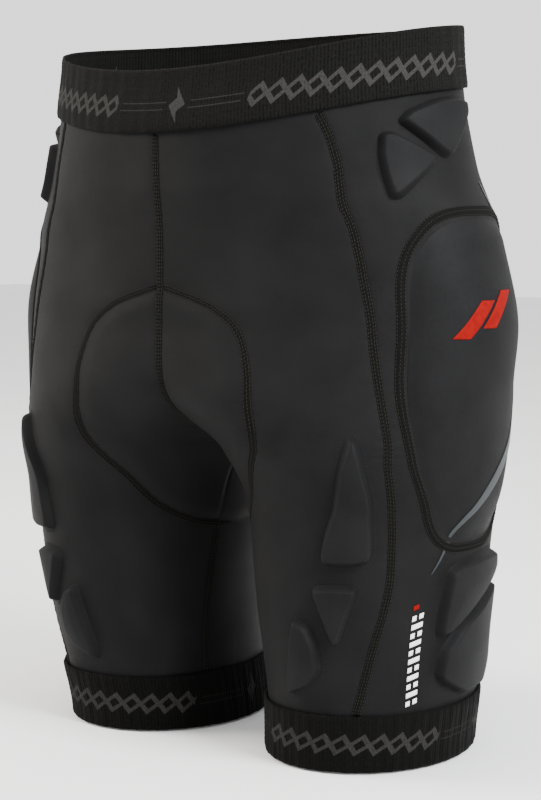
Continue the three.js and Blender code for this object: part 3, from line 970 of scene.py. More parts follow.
# fmt: off
FINISHES: dict[str, Finish] = {
    "jersey": KnitFinish(
        "Stretch Jersey", "body_fabric",
        (0.0034, 0.0034, 0.0035, 1), (0.0062, 0.0061, 0.0062, 1), 0.62, 0.006,
    ),
    "laminate": KnitFinish(
        "Laminated Jersey", "pad_fabric",
        (0.0036, 0.0036, 0.0038, 1), (0.0066, 0.0066, 0.0069, 1), 0.58, 0.006,
    ),
    "fleece": KnitFinish(
        "Brushed Fleece", "seat_pad_fabric",
        (0.004, 0.004, 0.0042, 1), (0.010, 0.010, 0.0105, 1), 0.9, 0.10, 0.0014, 0.6,
    ),
    "waist_elastic": ElasticFinish(
        "Waist Elastic", "elastic_rib", ELASTIC_GROOVE_SHADE_AND_ROWS, (0.0044, 0.0043, 0.0040, 1),
        (0.022, 0.0212, 0.0202, 1), period=0.243, reach=0.072, middle=0.0165,
    ),
    "cuff_elastic": ElasticFinish(
        "Cuff Elastic", "elastic_rib", ELASTIC_GROOVE_SHADE_AND_ROWS, (0.0026, 0.0025, 0.0023, 1),
        (0.0175, 0.0169, 0.0161, 1), period=0.230, reach=0.062, middle=0.019,
    ),
    "seam_tape": GrainFinish(
        "Seam Tape", "seam_thread",
        (0.0018, 0.0018, 0.0017, 1), (0.0036, 0.0036, 0.0034, 1), 0.85, 900.0, 0.4, 0.0, 0.04,
    ),
    "seam_thread": GrainFinish(
        "Overlock Thread", "seam_thread",
        (0.0070, 0.0066, 0.0054, 1), (0.0165, 0.0156, 0.0128, 1), 0.8, 2400.0, 0.3, 0.0, 0.06,
    ),
    "pad_thread": GrainFinish(
        "Pad Thread", "seam_thread",
        (0.0075, 0.0075, 0.0072, 1), (0.0150, 0.0150, 0.0144, 1), 0.8, 2400.0, 0.3, 0.0, 0.06,
    ),
    "film": GrainFinish(
        "Reflective Film", "reflective_print",
        (0.011, 0.0135, 0.0155, 1), (0.018, 0.0215, 0.0240, 1), 0.45, 1500.0, 0.1, 0.15, 0.2,
    ),
    "red": GrainFinish(
        "Red Print", "red_print",
        (0.115, 0.0012, 0.0008, 1), (0.150, 0.0020, 0.0012, 1), 0.6, 260.0, 0.1, 0.0, 0.04,
    ),
    "white": GrainFinish(
        "White Print", "white_print",
        (0.62, 0.62, 0.61, 1), (0.74, 0.74, 0.73, 1), 0.5, 700.0, 0.1,
    ),
    "silicone": GrainFinish(
        "Silicone", "silicone",
        (0.014, 0.014, 0.015, 1), (0.024, 0.024, 0.025, 1), 0.35, 400.0, 0.2,
    ),
}
# fmt: on


@dataclass
class Wardrobe:
    """Every finish of the shorts, made once."""

    made: dict[str, bpy.types.Material] = field(default_factory=dict)

    def build(self) -> "Wardrobe":
        """Makes the shared node groups and the materials."""
        groups = {"knit": knit_group(), "rib": rib_group(), "lozenge": lozenge_group()}
        self.made = {key: finish.build(groups) for key, finish in FINISHES.items()}
        return self

    def dress(self, piece: Piece, finish: str) -> None:
        """Gives a piece its finish."""
        piece.data.materials.clear()
        piece.data.materials.append(self.made[finish])


@dataclass
class Assembly:
    """What every sub-assembly needs: the finishes, and how a piece goes with the bodies."""

    wardrobe: Wardrobe
    crotch: tuple[float, float, float] = (0.0, 0.0, -0.270)
    crease_lean: float = 30.0
    crease_length: float = 0.14

    def settle(self, piece: Piece, finish: str, on: "str | Side", *nodes: str) -> None:
        """Dresses a finished piece, and gives it to its body or bakes its place into its mesh.

        Args:
            piece: The piece, with its mesh in place.
            finish: Its finish in the wardrobe.
            on: The body that it rides on, or the side that it lies on, whose place is baked into
                its mesh.
            nodes: The plain solids that it stands for.
        """
        self.wardrobe.dress(piece, finish)
        if isinstance(on, Side):
            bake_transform(piece)
        else:
            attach(piece, on)
        if nodes:
            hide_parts(*nodes)
        LOG.info("%s: %d faces", piece.name, len(piece.data.polygons))

    def seam(self, name: str, side: Side, kind: "SeamKind", route: Route, node: str) -> None:
        """Lays one seam's tape along a route and sews it.

        Args:
            name: The seam's name.
            side: Which half it lies on.
            kind: How it is sewn.
            route: Its middle line.
            node: The plain solid that it stands for.
        """
        tape = strip(name + "_tape", side, route, kind.width, kind.crown)
        add_wall(tape, TAPE_THICK)
        self.settle(tape, "seam_tape", side, node)
        self.settle(sew(name + "_stitches", side, route, kind.sewing()), "seam_thread", side)


# ---- The shell ----


@dataclass
class Panel:
    """One cut piece of the shell, between two seams, and the flat size it was cut to."""

    name: str
    start: Callable[[Array], Array]
    end: Callable[[Array], Array]
    columns: int
    flat: tuple[float, float]
    area: float


@dataclass
class Shell(Assembly):
    """The stretch cloth: a front, side and back panel for each half."""

    foot: float = 30.0
    top: float = 442.0
    rows: int = 176
    leg_share: float = 0.42
    thick: float = 1.1
    gap: float = 0.2

    def heights(self, share: Array) -> Array:
        """Rows close together just above the crotch, where the panels' inner edges turn fast."""
        crotch = FORM.crotch_height
        low = self.foot + (crotch - self.foot) * share / self.leg_share
        rise = np.clip((share - self.leg_share) / (1 - self.leg_share), 0, 1)
        return np.where(share <= self.leg_share, low, crotch + (self.top - crotch) * rise**1.7)

    def inner(self, height: Array, facing: int) -> Array:
        """A panel's inner edge, in front (-1) or behind (1): the middle plane, or the inseam."""
        inseam = facing * 180 + through(INSEAM_TURN, height)
        middle = facing * FORM.middle_angle(height, self.gap)
        return np.where(height > FORM.crotch_height, middle, inseam)

    def panels(self) -> list[Panel]:
        """The three panels of a half."""
        front = partial(self.inner, facing=-1)
        side_front = partial(through, SIDE_FRONT_SEAM)
        side_rear = partial(through, SIDE_REAR_SEAM)
        back = partial(self.inner, facing=1)
        return [
            Panel("front", front, side_front, 64, (0.235, 0.40), 0.053),
            Panel("side", side_front, side_rear, 56, (0.190, 0.40), 0.058),
            Panel("back", side_rear, back, 68, (0.270, 0.40), 0.062),
        ]

    def build_panel(self, side: Side, panel: Panel) -> None:
        """Bends one panel and gives it its wall."""

        def place(across: Array, along: Array) -> Placed:
            """A vertex's angle and height between the panel's two seams."""
            height = self.heights(along)
            start, end = panel.start(height), panel.end(height)
            degrees = start + (end - start) * across
            scale = FORM.per_degree(degrees, height)
            points = CLOTH.at(side, degrees, height)
            flat = np.stack([degrees * np.clip(scale, *LEAST_AND_MOST_SCALE), height], -1) * MM
            return Placed(points, FORM.facing(side, degrees, height), flat)

        piece = bent_grid(f"{side.prefix}{panel.name}_cloth", panel.columns, self.rows, place)
        add_wall(piece, self.thick)
        self.settle(piece, "jersey", side, f"{side.prefix}{panel.name}_panel")

    def build(self) -> None:
        """Makes the six panels."""
        for side in Side:
            for panel in self.panels():
                self.build_panel(side, panel)


class SeamKind(Enum):
    """How a seam is sewn: its width in millimetres, how proud it stands, and its rows."""

    SIDE = (6.4, 0.75, (-2.35, -0.95, 0.95, 2.35))
    HIP = (7.2, 0.85, (-2.7, 0.0, 2.7))
    SEAT = (5.4, 0.6, (-1.9, 0.0, 1.9))
    CENTRE = (5.2, 1.1, (-2.0, -0.7, 0.7, 2.0))

    @property
    def width(self) -> float:
        """The tape's width."""
        return self.value[0]

    @property
    def rise(self) -> float:
        """How far the tape stands off the cloth at its middle."""
        return self.value[1]

    def crown(self, share: Array) -> Array:
        """The tape's section: sunk edges and a soft ridge."""
        return self.rise * (1 - np.abs(share) ** 2.6) - 0.35 * np.abs(share) ** 6

    def sewing(self) -> list[Sewing]:
        """The rows of stitches, each set down at the tape's own height."""
        rows = []
        for sideways in self.value[2]:
            lift = float(self.crown(np.array(2 * sideways / self.width))) + STITCH_LIFT
            slant = OUTER_SLANT if sideways else MIDDLE_SLANT
            rows.append(replace(SEAM_STITCH, sideways=sideways, slant=slant, lift=lift))
        return rows


@dataclass
class Seams(Assembly):
    """Flat overlocked seams: a soft ridge of tape under rows of stitches."""

    top: float = 432.0
    foot: float = 39.0
    seat_meet: float = 1.0
    seat_gap: float = 1.5

    def build_centre(self, name: str, facing: int) -> None:
        """Makes a seam down the middle plane, front or back, as one tape."""
        kind = SeamKind.CENTRE
        foot = FORM.crotch_height + 1
        reach = np.linspace(0, 1, 200)
        height = foot + (self.top - foot) * reach**1.6

        def laid(off_mm: Array, level: Array, lift: Array) -> tuple[Array, Array]:
            """Points and directions at a distance from the middle plane."""
            degrees = facing * FORM.middle_angle(level, np.abs(off_mm))
            points = CLOTH.at(Side.LEFT, degrees, level, lift)
            points[..., 0] = off_mm * MM
            outward = FORM.facing(Side.LEFT, degrees, level)
            outward[..., 0] *= np.sign(off_mm)
            return points, unit(outward)

        def place(across: Array, along: Array) -> Placed:
            """A vertex across and along the tape."""
            share = across * 2 - 1
            level = np.interp(along, reach, height)
            points, outward = laid(share * kind.width / 2, level, kind.crown(share))
            return Placed(points, outward, np.stack([share * kind.width / 2, level], -1) * MM)

        tape = bent_grid(name + "_tape", 8, 150, place)
        add_wall(tape, TAPE_THICK)
        self.settle(tape, "seam_tape", "pelvis", name + "_seam")
        runs = []
        for row in kind.sewing():
            off, lift = (np.full(len(height), value) for value in (row.sideways, row.lift))
            runs.append((*laid(off, height, lift), row))
        self.settle(stitch_mesh(name + "_stitches", runs), "seam_thread", "pelvis")

    def around_seat(self) -> Route:
        """The seat pad's edge on one half, from the front to the back."""
        turn, height = SEAT_EDGE_LINE.T
        level = height[-1] + self.seat_meet
        middle = FORM.middle_angle(np.array([level]), np.array([self.seat_gap]))
        turn, height = np.append(turn, 180 - middle), np.append(height, level)
        return Route(np.append(turn[:0:-1] - 180, -180 - turn), np.append(height[:0:-1], height))

    def build(self) -> None:
        """Makes every seam of the shell."""
        inseam_top = SEAT_PAD_EDGE[0][1] - 3
        rows = (
            ("front_seam", SeamKind.SIDE, SIDE_FRONT_SEAM, self.top, 0.0, "side_front_seam"),
            ("rear_seam", SeamKind.SIDE, SIDE_REAR_SEAM, self.top, 0.0, "side_rear_seam"),
            ("inner_seam", SeamKind.SEAT, INSEAM_TURN, inseam_top, -180.0, "inseam"),
        )
        for side in Side:
            start = side.prefix
            for name, kind, curve, top, turn, node in rows:
                route = Route.by_height(curve, self.foot, top, turn)
                self.seam(start + name, side, kind, route, start + node)
            edge = self.around_seat()
            self.seam(start + "seat_seam", side, SeamKind.SEAT, edge, start + "seat_pad_seam")
        self.build_centre("centre_front", -1)
        self.build_centre("centre_back", 1)


# ---- Elastic ----


@dataclass
class Elastics(Assembly):
    """The waistband and the cuffs: woven elastic with ribs that stand up, rolled at its edges."""

    pitch: float = 2.3
    lift: float = 1.0
    thick: float = 2.0
    rib: float = 0.42
    roll: float = 0.7
    roll_reach: float = 2.2
    uneven: float = 0.25
    sway: float = 0.30
    gathers: Rows = ((0.22, 61, 5), (0.16, 143, 0))
    cells_per_rib: int = 4
    waist_width: float = 40.0
    cuff_width: float = 38.0
    waist_motif: float = -32.5
    cuff_motifs: tuple[float, float] = (-63.0, -97.0)
    gripper_foot: float = 8.0
    gripper_width: float = 18.0

    def band(
        self, name: str, side: Side, low: float, high: float, rows: int, motif: float
    ) -> Piece:
        """Makes one ring of ribbed elastic.

        Args:
            name: The piece's name.
            side: Which half, or the left for the whole waist.
            low: The height of its lower edge.
            high: The height of its upper edge.
            rows: Cells up.
            motif: The angle where the middle of a woven chain lies.

        Returns:
            The band.
        """
        turn = np.linspace(90, 450, 721)
        run = lengths(FORM.bare(turn, np.full(turn.shape, (low + high) / 2)))
        ribs = round(run[-1] / self.pitch)
        columns = ribs * self.cells_per_rib
        origin = np.interp((motif - 90) % 360 + 90, turn, run)

        def place(across: Array, along: Array) -> Placed:
            """A vertex round and up the ring, lifted by its rib."""
            degrees = np.interp(across * run[-1], run, turn)
            height = low + (high - low) * along
            level = np.clip(height, 1, FORM.side_height - 1)
            normal = unit(FORM.normal(degrees, level) * (1, 1, 0))
            phase = across * ribs * math.pi
            course = np.round(along * rows)
            knit = np.sin(course * 2.4 + np.floor(across * ribs) * 1.9)
            uneven = 1 - self.uneven + self.uneven * knit
            sway = self.sway * np.sin(course * 0.9 + across * 37.0)
            rib = self.rib * np.abs(np.sin(phase + sway)) ** 0.8 * uneven
            edge = np.minimum(along, 1 - along) * (high - low)
            rolled = self.roll * (1 - smooth(edge, 0, self.roll_reach))
            gather = sum(
                depth * np.sin(across * waves * math.pi + np.sin(along * turn))
                for depth, waves, turn in self.gathers
            )
            reach = self.lift + self.thick - self.rib + rib - rolled + gather
            points = (FORM.bare(degrees, height) + normal * reach[:, None]) * (side.value, 1, 1)
            x, y = side.value * (across * run[-1] - origin), along * (high - low)
            return Placed(points * MM, normal * (side.value, 1, 1), np.stack([x, y], -1) * MM)

        piece = bent_grid(name, columns, rows, place, join=True)
        add_wall(piece, self.thick - 0.5)
        return piece

    def build(self) -> None:
        """Makes the waistband, both cuffs and the grippers inside them."""
        top = FORM.side_height
        low = top - self.waist_width
        waist = self.band("waistband_elastic", Side.LEFT, low, top, 30, self.waist_motif)
        self.settle(waist, "waist_elastic", "pelvis", "waistband")
        for side, motif in zip(Side, self.cuff_motifs):
            name = side.prefix
            cuff = self.band(name + "cuff_elastic", side, 0, self.cuff_width, 28, motif)
            self.settle(cuff, "cuff_elastic", side.leg, name + "cuff")
            self.build_gripper(side)

    def build_gripper(self, side: Side) -> None:
        """Makes the wavy silicone ring inside a cuff."""

        def place(across: Array, along: Array) -> Placed:
            """A vertex round and up the ring, in three soft waves."""
            degrees = across * 360
            height = self.gripper_foot + self.gripper_width * along
            facing = -FORM.facing(side, degrees, height)
            uneven = 0.8 + 0.2 * np.sin(across * 180 * math.pi)
            wave = 0.35 * np.abs(np.sin(along * 3 * math.pi)) * uneven
            points = FORM.skin(side, degrees, height, -0.1 - wave)
            return Placed(points, facing, np.stack([across * 0.46, along * 0.018], -1))

        piece = bent_grid(side.prefix + "gripper_waves", 260, 24, place, join=True)
        add_wall(piece, TAPE_THICK)
        self.settle(piece, "silicone", side.leg, side.prefix + "cuff_gripper")


# ---- Pads ----


def rounded(corners: Rows, radius: float, count: int) -> Array:
    """A closed outline with its corners rounded, as evenly spaced points.

    Args:
        corners: The sharp corners, in order.
        radius: How far each corner is cut back.
        count: How many points to return.

    Returns:
        The outline's points.
    """
    p = np.array(corners, float)
    line = []
    for corner, before, after in zip(p, np.roll(p, 1, 0), np.roll(p, -1, 0)):
        into, away = (
            corner + unit(end - corner) * min(radius, np.linalg.norm(end - corner) / 2)
            for end in (before, after)
        )
        for t in np.linspace(0, 1, 12):
            line.append(into * (1 - t) ** 2 + 2 * corner * t * (1 - t) + away * t * t)
    line = np.array(line + line[:1])
    run = lengths(line)
    return resampled(np.linspace(0, run[-1], count, endpoint=False), run, line)


def grown(outline: Array, by: float) -> Array:
    """A closed outline moved outwards by a distance."""
    along = unit(np.roll(outline, -1, 0) - np.roll(outline, 1, 0))
    turned = np.stack([along[:, 1], -along[:, 0]], -1)
    if (turned * (outline - outline.mean(0))).sum() < 0:
        turned = -turned
    return outline + turned * by


@dataclass(frozen=True)
class Patch:
    """A flat drawing laid on the form: millimetres round and up from one angle and height."""

    degrees: float
    height: float

    @property
    def scale(self) -> float:
        """Millimetres for one degree at its middle."""
        return float(FORM.per_degree(np.array(self.degrees), np.array(self.height)))

    def on_form(self, x: Array, y: Array) -> tuple[Array, Array]:
        """The angle and height of points of the drawing."""
        return self.degrees + x / self.scale, self.height + y


Lay = Callable[[Array, Array, Array], tuple[Array, Array]]


@dataclass
class MouldedPad:
    """A foam pad pressed into the cloth: a steep wall round a soft crown."""

    name: str
    node: str
    round: float
    corners: Rows
    flat: bool = False
    rise: float = 7.0
    wall: float = 3.9
    wall_share: float = 0.86
    crown_share: float = 0.20
    crown_reach: float = 14.0
    crease: float = 0.35
    sink: float = 0.5
    skirt: float = 2.2
    skin: float = 0.9
    rings: tuple[int, int] = (20, 12)

    def patch(self) -> Patch:
        """The middle of the pad's corners on the form."""
        middle = np.mean(np.array(self.corners, float), 0)
        return Patch(float(middle[0]), float(middle[1]))

    def outline(self, count: int = 132) -> Array:
        """The pad's foot in millimetres from its middle."""
        patch = self.patch()
        scale = 1.0 if self.flat else patch.scale
        local = [((a - patch.degrees) * scale, h - patch.height) for a, h in self.corners]
        return rounded(local, self.round, count)

    def profile(self, inwards: Array) -> Array:
        """How far the pad stands off the cloth at a distance in from its foot."""
        wall = smooth(inwards, -0.3, self.wall) ** 0.85
        crown = 1 - np.exp(-np.maximum(inwards, 0) / self.crown_reach)
        dip = self.crease * np.exp(-(((inwards - 0.2) / 1.1) ** 2))
        return self.rise * (self.wall_share * wall + self.crown_share * crown) - dip

    def build(self, name: str, lay: Lay) -> Piece:
        """Makes the pad as rings from its skirt to its middle.

        Args:
            name: The pad's name.
            lay: Gives points and directions from millimetres round, up and out.

        Returns:
            The pad, with its wall.
        """
        outline = self.outline()
        count = len(outline)
        skirt = grown(outline, self.skirt)
        steep, soft = self.rings
        shares = np.append(np.linspace(0, 0.42, steep) ** 1.15, np.linspace(0.45, 1, soft))
        rings = np.array([skirt] + [outline * (1 - share) for share in shares])
        depth = len(rings) - 1

        def place(across: Array, along: Array) -> Placed:
            """A vertex round the outline and in towards the middle."""
            column = np.round(across * count).astype(int) % count
            ring = np.round(along * depth).astype(int)
            flat = rings[ring, column]
            inwards = edge_distance(outline, flat[:, 0], flat[:, 1])
            inwards = np.where(ring == 0, -self.skirt, inwards)
            lift = np.where(ring == 0, -self.sink, self.profile(inwards))
            return Placed(*lay(flat[:, 0], flat[:, 1], lift), flat * MM)

        piece = bent_grid(name, count, depth, place, join=True)
        add_wall(piece, self.skin)
        return piece


# fmt: off
LEG_PADS = (
    MouldedPad("tall_thigh_pad", "thigh_pad_tall", 4, (
        (-55.5, 220.5), (-52.5, 218), (-53.2, 195), (-53.8, 170), (-52, 147), (-53, 140),
        (-62.5, 137.5), (-75.5, 138), (-76.5, 144), (-74.3, 160), (-69.5, 183), (-61, 208),
    )),
    MouldedPad("pointed_thigh_pad", "thigh_pad_point", 4, (
        (-81, 121), (-79, 125), (-69, 126), (-58.5, 125.5), (-57.5, 121), (-66, 86.5), (-70.5, 86),
    )),
    MouldedPad("corner_thigh_pad", "thigh_pad_corner", 4, (
        (-91.5, 104), (-82, 99.5), (-77, 86.5), (-76.3, 69),
        (-82, 58.5), (-98.5, 48.5), (-98.5, 62),
    )),
    MouldedPad("upper_outer_pad", "outer_pad_upper", 5, (
        (-14, 131), (-6, 136.5), (8, 138), (26, 138), (34, 124),
        (11, 107), (-12, 88), (-18.5, 87), (-18, 100),
    )),
    MouldedPad("lower_outer_pad", "outer_pad_lower", 5, (
        (-1, 96), (34, 115), (37, 100), (34, 60), (22, 44),
        (2, 44), (-12, 54), (-17.5, 60), (-15, 77),
    )),
    MouldedPad("front_hip_pad", "iliac_pad_front", 4, (
        (-30, 413), (-31.5, 397), (-31.5, 366), (-28.5, 365.5),
        (-12.8, 388), (-12.8, 394), (-26, 413.5),
    )),
    MouldedPad("side_hip_pad", "iliac_pad_side", 4, (
        (-24, 418.5), (-20, 425), (-9, 429.5), (1, 430),
        (9.5, 427), (9.5, 417), (-5, 391), (-9, 391),
    )),
)
TAIL_PADS = (
    MouldedPad("upper_tailbone_pad", "tailbone_pad_upper", 8, (
        (-34, 372), (34, 372), (30, 352), (8, 322), (-8, 322), (-30, 352),
    ), flat=True),
    MouldedPad("lower_tailbone_pad", "tailbone_pad_lower", 8, (
        (0, 316), (22, 290), (14, 258), (0, 246), (-14, 258), (-22, 290),
    ), flat=True),
)
# fmt: on


@dataclass
class SmallPads(Assembly):
    """The moulded pads on the thighs, the hips and the tailbone."""

    stitch: Sewing = Sewing(0.0, 2.5, 1.7, 0.5, 62.0, 0.0, 1)
    stitch_margin: float = 1.1
    over_seam: float = 0.6
    fill: float = 0.9

    def build_pad(self, pad: MouldedPad, start: str, on: "str | Side", lay: Lay) -> None:
        """Makes one pad and sews round its foot.

        Args:
            pad: The pad.
            start: The start of its names.
            on: The body or the side that it goes with.
            lay: Gives its points and directions from millimetres round, up and out.
        """
        piece = pad.build(start + pad.name, lay)
        self.settle(piece, "laminate", on, start + pad.node)
        edge = grown(pad.outline(160), self.stitch_margin)
        edge = np.vstack([edge, edge[:1]])
        line, up = lay(edge[:, 0], edge[:, 1], np.zeros(len(edge)))
        stitches = stitch_mesh(f"{start}{pad.name}_stitches", [(line, up, self.stitch)])
        self.settle(stitches, "pad_thread", on)

    def on_leg(
        self, side: Side, patch: Patch, x: Array, y: Array, lift: Array
    ) -> tuple[Array, Array]:
        """A leg pad's place on the cloth of one half."""
        degrees, height = patch.on_form(x, y)
        return CLOTH.at(side, degrees, height, lift), FORM.facing(side, degrees, height)

    def over_back(self, level: float, x: Array, y: Array, lift: Array) -> tuple[Array, Array]:
        """A tailbone pad's place over the centre back seam."""
        height = level + y
        middle = FORM.middle_angle(height)
        degrees = middle - np.abs(x) / FORM.per_degree(middle, height)
        mirror = np.stack([np.where(x < 0, -1, 1), np.ones(len(x)), np.ones(len(x))], -1)
        points = CLOTH.at(Side.LEFT, degrees, height, lift + self.over_seam)
        return points * mirror, FORM.facing(Side.LEFT, degrees, height) * mirror

    def build(self) -> None:
        """Makes every moulded pad."""
        for side in Side:
            for pad in LEG_PADS:
                self.build_pad(pad, side.prefix, side, partial(self.on_leg, side, pad.patch()))
        for pad in TAIL_PADS:
            self.build_pad(pad, "", "pelvis", partial(self.over_back, pad.patch().height))


COVER_CLOTH = {
    "quality": 6,
    "mass": 0.3,
    "tension_stiffness": 18,
    "compression_stiffness": 18,
    "shear_stiffness": 9,
    "bending_stiffness": 1.2,
    "use_pressure": True,
}
SWELL_FRAMES = 20


def inflate(piece: Piece, pinned: Sequence[int], pressure: float, most_mm: float) -> None:
    """Lets a cover swell with the cloth solver's pressure, and keeps the result in its mesh.

    Args:
        piece: The cover, an open sheet.
        pinned: The numbers of the vertices that are sewn down.
        pressure: How hard it is blown out.
        most_mm: The furthest that a point may move.
    """
    start = read_points(piece.data)
    rim = piece.vertex_groups.new(name="sewn_rim")
    rim.add(pinned, 1.0, "REPLACE")
    activate(piece)
    bpy.ops.object.modifier_add(type="CLOTH")
    cloth = piece.modifiers[-1]
    for key, value in COVER_CLOTH.items():
        setattr(cloth.settings, key, value)
    cloth.settings.uniform_pressure_force = pressure
    cloth.settings.effector_weights.gravity = 0
    cloth.settings.vertex_group_mass = rim.name
    cloth.point_cache.frame_start = 1
    cloth.point_cache.frame_end = SWELL_FRAMES
    for frame in range(1, SWELL_FRAMES + 1):
        bpy.context.scene.frame_set(frame)
    bpy.ops.object.modifier_apply(modifier=cloth.name)
    bpy.context.scene.frame_set(1)
    moved = read_points(piece.data) - start
    far = np.maximum(np.linalg.norm(moved, axis=1, keepdims=True), TINY)
    write_points(piece.data, start + moved * np.minimum(1, most_mm * MM / far))
    piece.vertex_groups.clear()


def rim_of(mesh: bpy.types.Mesh) -> list[int]:
    """The numbers of the vertices round a sheet's open edge."""
    uses = Counter(key for face in mesh.polygons for key in face.edge_keys)
    return sorted({vertex for key, count in uses.items() if count == 1 for vertex in key})


@dataclass(frozen=True)
class HipOval:
    """The hip pad's outline, a rounded oblong in millimetres from its middle."""

    patch: Patch = Patch(0.0, 251.0)
    width: float = 127.0
    length: float = 206.0
    squareness: float = 3.4

    def reach(self, turn: Array) -> Array:
        """How far out of the unit circle the outline lies at each turn."""
        c, s = np.abs(np.cos(turn)), np.abs(np.sin(turn))
        return (c**self.squareness + s**self.squareness) ** (-1 / self.squareness)

    def outline(self, margin: float, count: int) -> Array:
        """Evenly spaced points round the outline, moved out by a margin."""
        turn = np.linspace(0, 2 * math.pi, 721)
        reach = self.reach(turn)
        x = (self.width / 2 + margin) * reach * np.cos(turn)
        y = (self.length / 2 + margin) * reach * np.sin(turn)
        line = np.stack([x, y], -1)
        run = lengths(line)
        return resampled(np.linspace(0, run[-1], count, endpoint=False), run, line)

    def share(self, x: Array, y: Array) -> Array:
        """How far out to the outline each point lies, from 0 to 1."""
        n = self.squareness
        return ((2 * np.abs(x) / self.width) ** n + (2 * np.abs(y) / self.length) ** n) ** (1 / n)


@dataclass
class HipPads(Assembly):
    """The thick hip pads: a domed cover that stands for its foam too, its sewn rim, and the prints
    on it.
    """

    oval: HipOval = HipOval()
    rise: float = 10.2
    flatness: float = 3.0
    clear: float = 1.0
    columns: int = 40
    rows: int = 64
    pressure: float = 1.6
    swell: float = 2.2
    skin: float = 1.2
    seam_margin: float = 3.9
    shoulder: float = 0.12
    sink: float = 0.3
    print_lift: float = 1.0
    tail_lift: float = 0.3
    print_gap: float = 0.22
    film: float = 0.18
    # fmt: off
    crescent: Rows = (
        (-23.2, 129.5, 0.7), (-19.5, 137.5, 1.6), (-16.8, 146, 2.3), (-15, 155, 3.0),
        (-11, 163.5, 4.2), (-5, 172, 5.4), (1.5, 181.5, 6.6), (8, 192, 7.8), (14, 204, 8.8),
        (18.5, 217, 9.6), (22.5, 236, 9.8), (26, 258, 9.0), (26.5, 285, 9.0), (26.5, 310, 8.5),
        (24, 335, 7.0), (19.5, 352, 5.2), (14.5, 364, 3.6), (11.5, 376, 1.0),
    )
    # fmt: on
    bars: tuple[tuple[str, Rows], ...] = (
        ("front", ((-20, 279), (-14, 279), (-3, 301), (-9, 301))),
        ("rear", ((-9.5, 285), (-3.5, 285), (7.5, 307), (1.5, 307))),
    )

    def lift(self, share: Array) -> Array:
        """How far the cover stands off the cloth before it swells."""
        share = np.minimum(share, 1)
        dome = self.rise * (1 - share**self.flatness)
        return dome * (0.55 + 0.45 * smooth(1 - share, 0, self.shoulder)) - self.sink

    def build_dome(self, side: Side) -> Piece:
        """Bends the cover into its dome, swells it and subdivides it once."""
        patch = self.oval.patch

        def place(across: Array, along: Array) -> Placed:
            """A vertex of the cover, carried from a square to the oval."""
            a, b = across * 2 - 1, along * 2 - 1
            x, y = a * np.sqrt(1 - b * b / 2), b * np.sqrt(1 - a * a / 2)
            share, turn = np.hypot(x, y), np.arctan2(y, x)
            reach = share * self.oval.reach(turn)
            x = self.oval.width / 2 * reach * np.cos(turn)
            y = self.oval.length / 2 * reach * np.sin(turn)
            degrees, height = patch.on_form(x, y)
            points = CLOTH.at(side, degrees, height, self.lift(share))
            return Placed(points, FORM.facing(side, degrees, height), np.stack([x, y], -1) * MM)

        piece = bent_grid(side.prefix + "hip_dome", self.columns, self.rows, place)
        inflate(piece, rim_of(piece.data), self.pressure, self.swell)
        apply_modifier(piece, "SUBSURF", levels=1, render_levels=1)
        return piece

    def press(self, piece: Piece, dome: Piece) -> None:
        """Presses a print onto the dome and gives it a film's thickness."""
        apply_modifier(
            piece,
            "SHRINKWRAP",
            target=dome,
            wrap_method="NEAREST_SURFACEPOINT",
            wrap_mode="ABOVE_SURFACE",
            offset=self.print_gap * MM,
        )
        add_wall(piece, self.film, inwards=False)

    def build_crescent(self, side: Side, dome: Piece) -> None:
        """Makes the reflective crescent: its run over the dome, and its two tails on the cloth."""
        start = side.prefix
        line = spline(self.crescent, 300)
        height = line[:, 1] - self.oval.patch.height
        x = line[:, 0] * self.oval.patch.scale
        share = self.oval.share(x, height)
        on_dome = np.flatnonzero(share < 0.985)
        span = np.arange(on_dome[0], on_dome[-1] + 1)
        lift = self.lift(share[span]) + self.print_lift
        over = self.ribbon(start + "reflective_crescent", side, line[span], lift)
        self.press(over, dome)
        self.settle(over, "film", side, start + "reflective_stripe")
        outer = HipOval(width=self.oval.width + self.clear, length=self.oval.length + self.clear)
        off = outer.share(x, height) > 1.0
        for name, part in (("tail", off & (height < 0)), ("tip", off & (height > 0))):
            end = line[part]
            lift = np.full(len(end), self.tail_lift)
            piece = self.ribbon(start + "reflective_" + name, side, end, lift)
            add_wall(piece, PRINT_THICK, inwards=False)
            self.settle(piece, "film", side)

    def ribbon(self, name: str, side: Side, line: Array, lift: Array) -> Piece:
        """Lays a ribbon of changing width on the cloth.

        Args:
            name: The new object's name.
            side: Which half it lies on.
            line: Rows of angle, height and width along it.
            lift: Millimetres off the cloth at each row.

        Returns:
            The ribbon.
        """
        route, widths = Route(line[:, 0], line[:, 1]), line[:, 2]
        steps = len(line) - 1
        travels, scales = route.travel(), FORM.per_degree(route.degrees, route.height)

        def place(across: Array, along: Array) -> Placed:
            """A vertex across and along the ribbon."""
            at = np.round(along * steps).astype(int)
            sideways = (across - 0.5) * widths[at]
            degrees = route.degrees[at] - travels[at, 1] * sideways / scales[at]
            height = route.height[at] + travels[at, 0] * sideways
            points = CLOTH.at(side, degrees, height, lift[at])
            flat = np.stack([sideways, height], -1) * MM
            return Placed(points, FORM.facing(side, degrees, height), flat)

        return bent_grid(name, 10, steps, place)

    def build_emblem(self, side: Side, dome: Piece) -> None:
        """Makes the red mark, two slanted bars."""
        patch = self.oval.patch

        def place(corner: Array, across: Array, along: Array) -> Placed:
            """A vertex of a bar, between its four corners."""
            a, b = across[:, None], along[:, None]
            low = corner[0] * (1 - a) + corner[1] * a
            high = corner[3] * (1 - a) + corner[2] * a
            degrees, height = (low * (1 - b) + high * b).T
            x, y = degrees * patch.scale, height - patch.height
            lift = self.lift(self.oval.share(x, y)) + self.print_lift
            points = CLOTH.at(side, degrees, height, lift)
            flat = np.stack([x, y], -1) * MM
            return Placed(points, FORM.facing(side, degrees, height), flat)

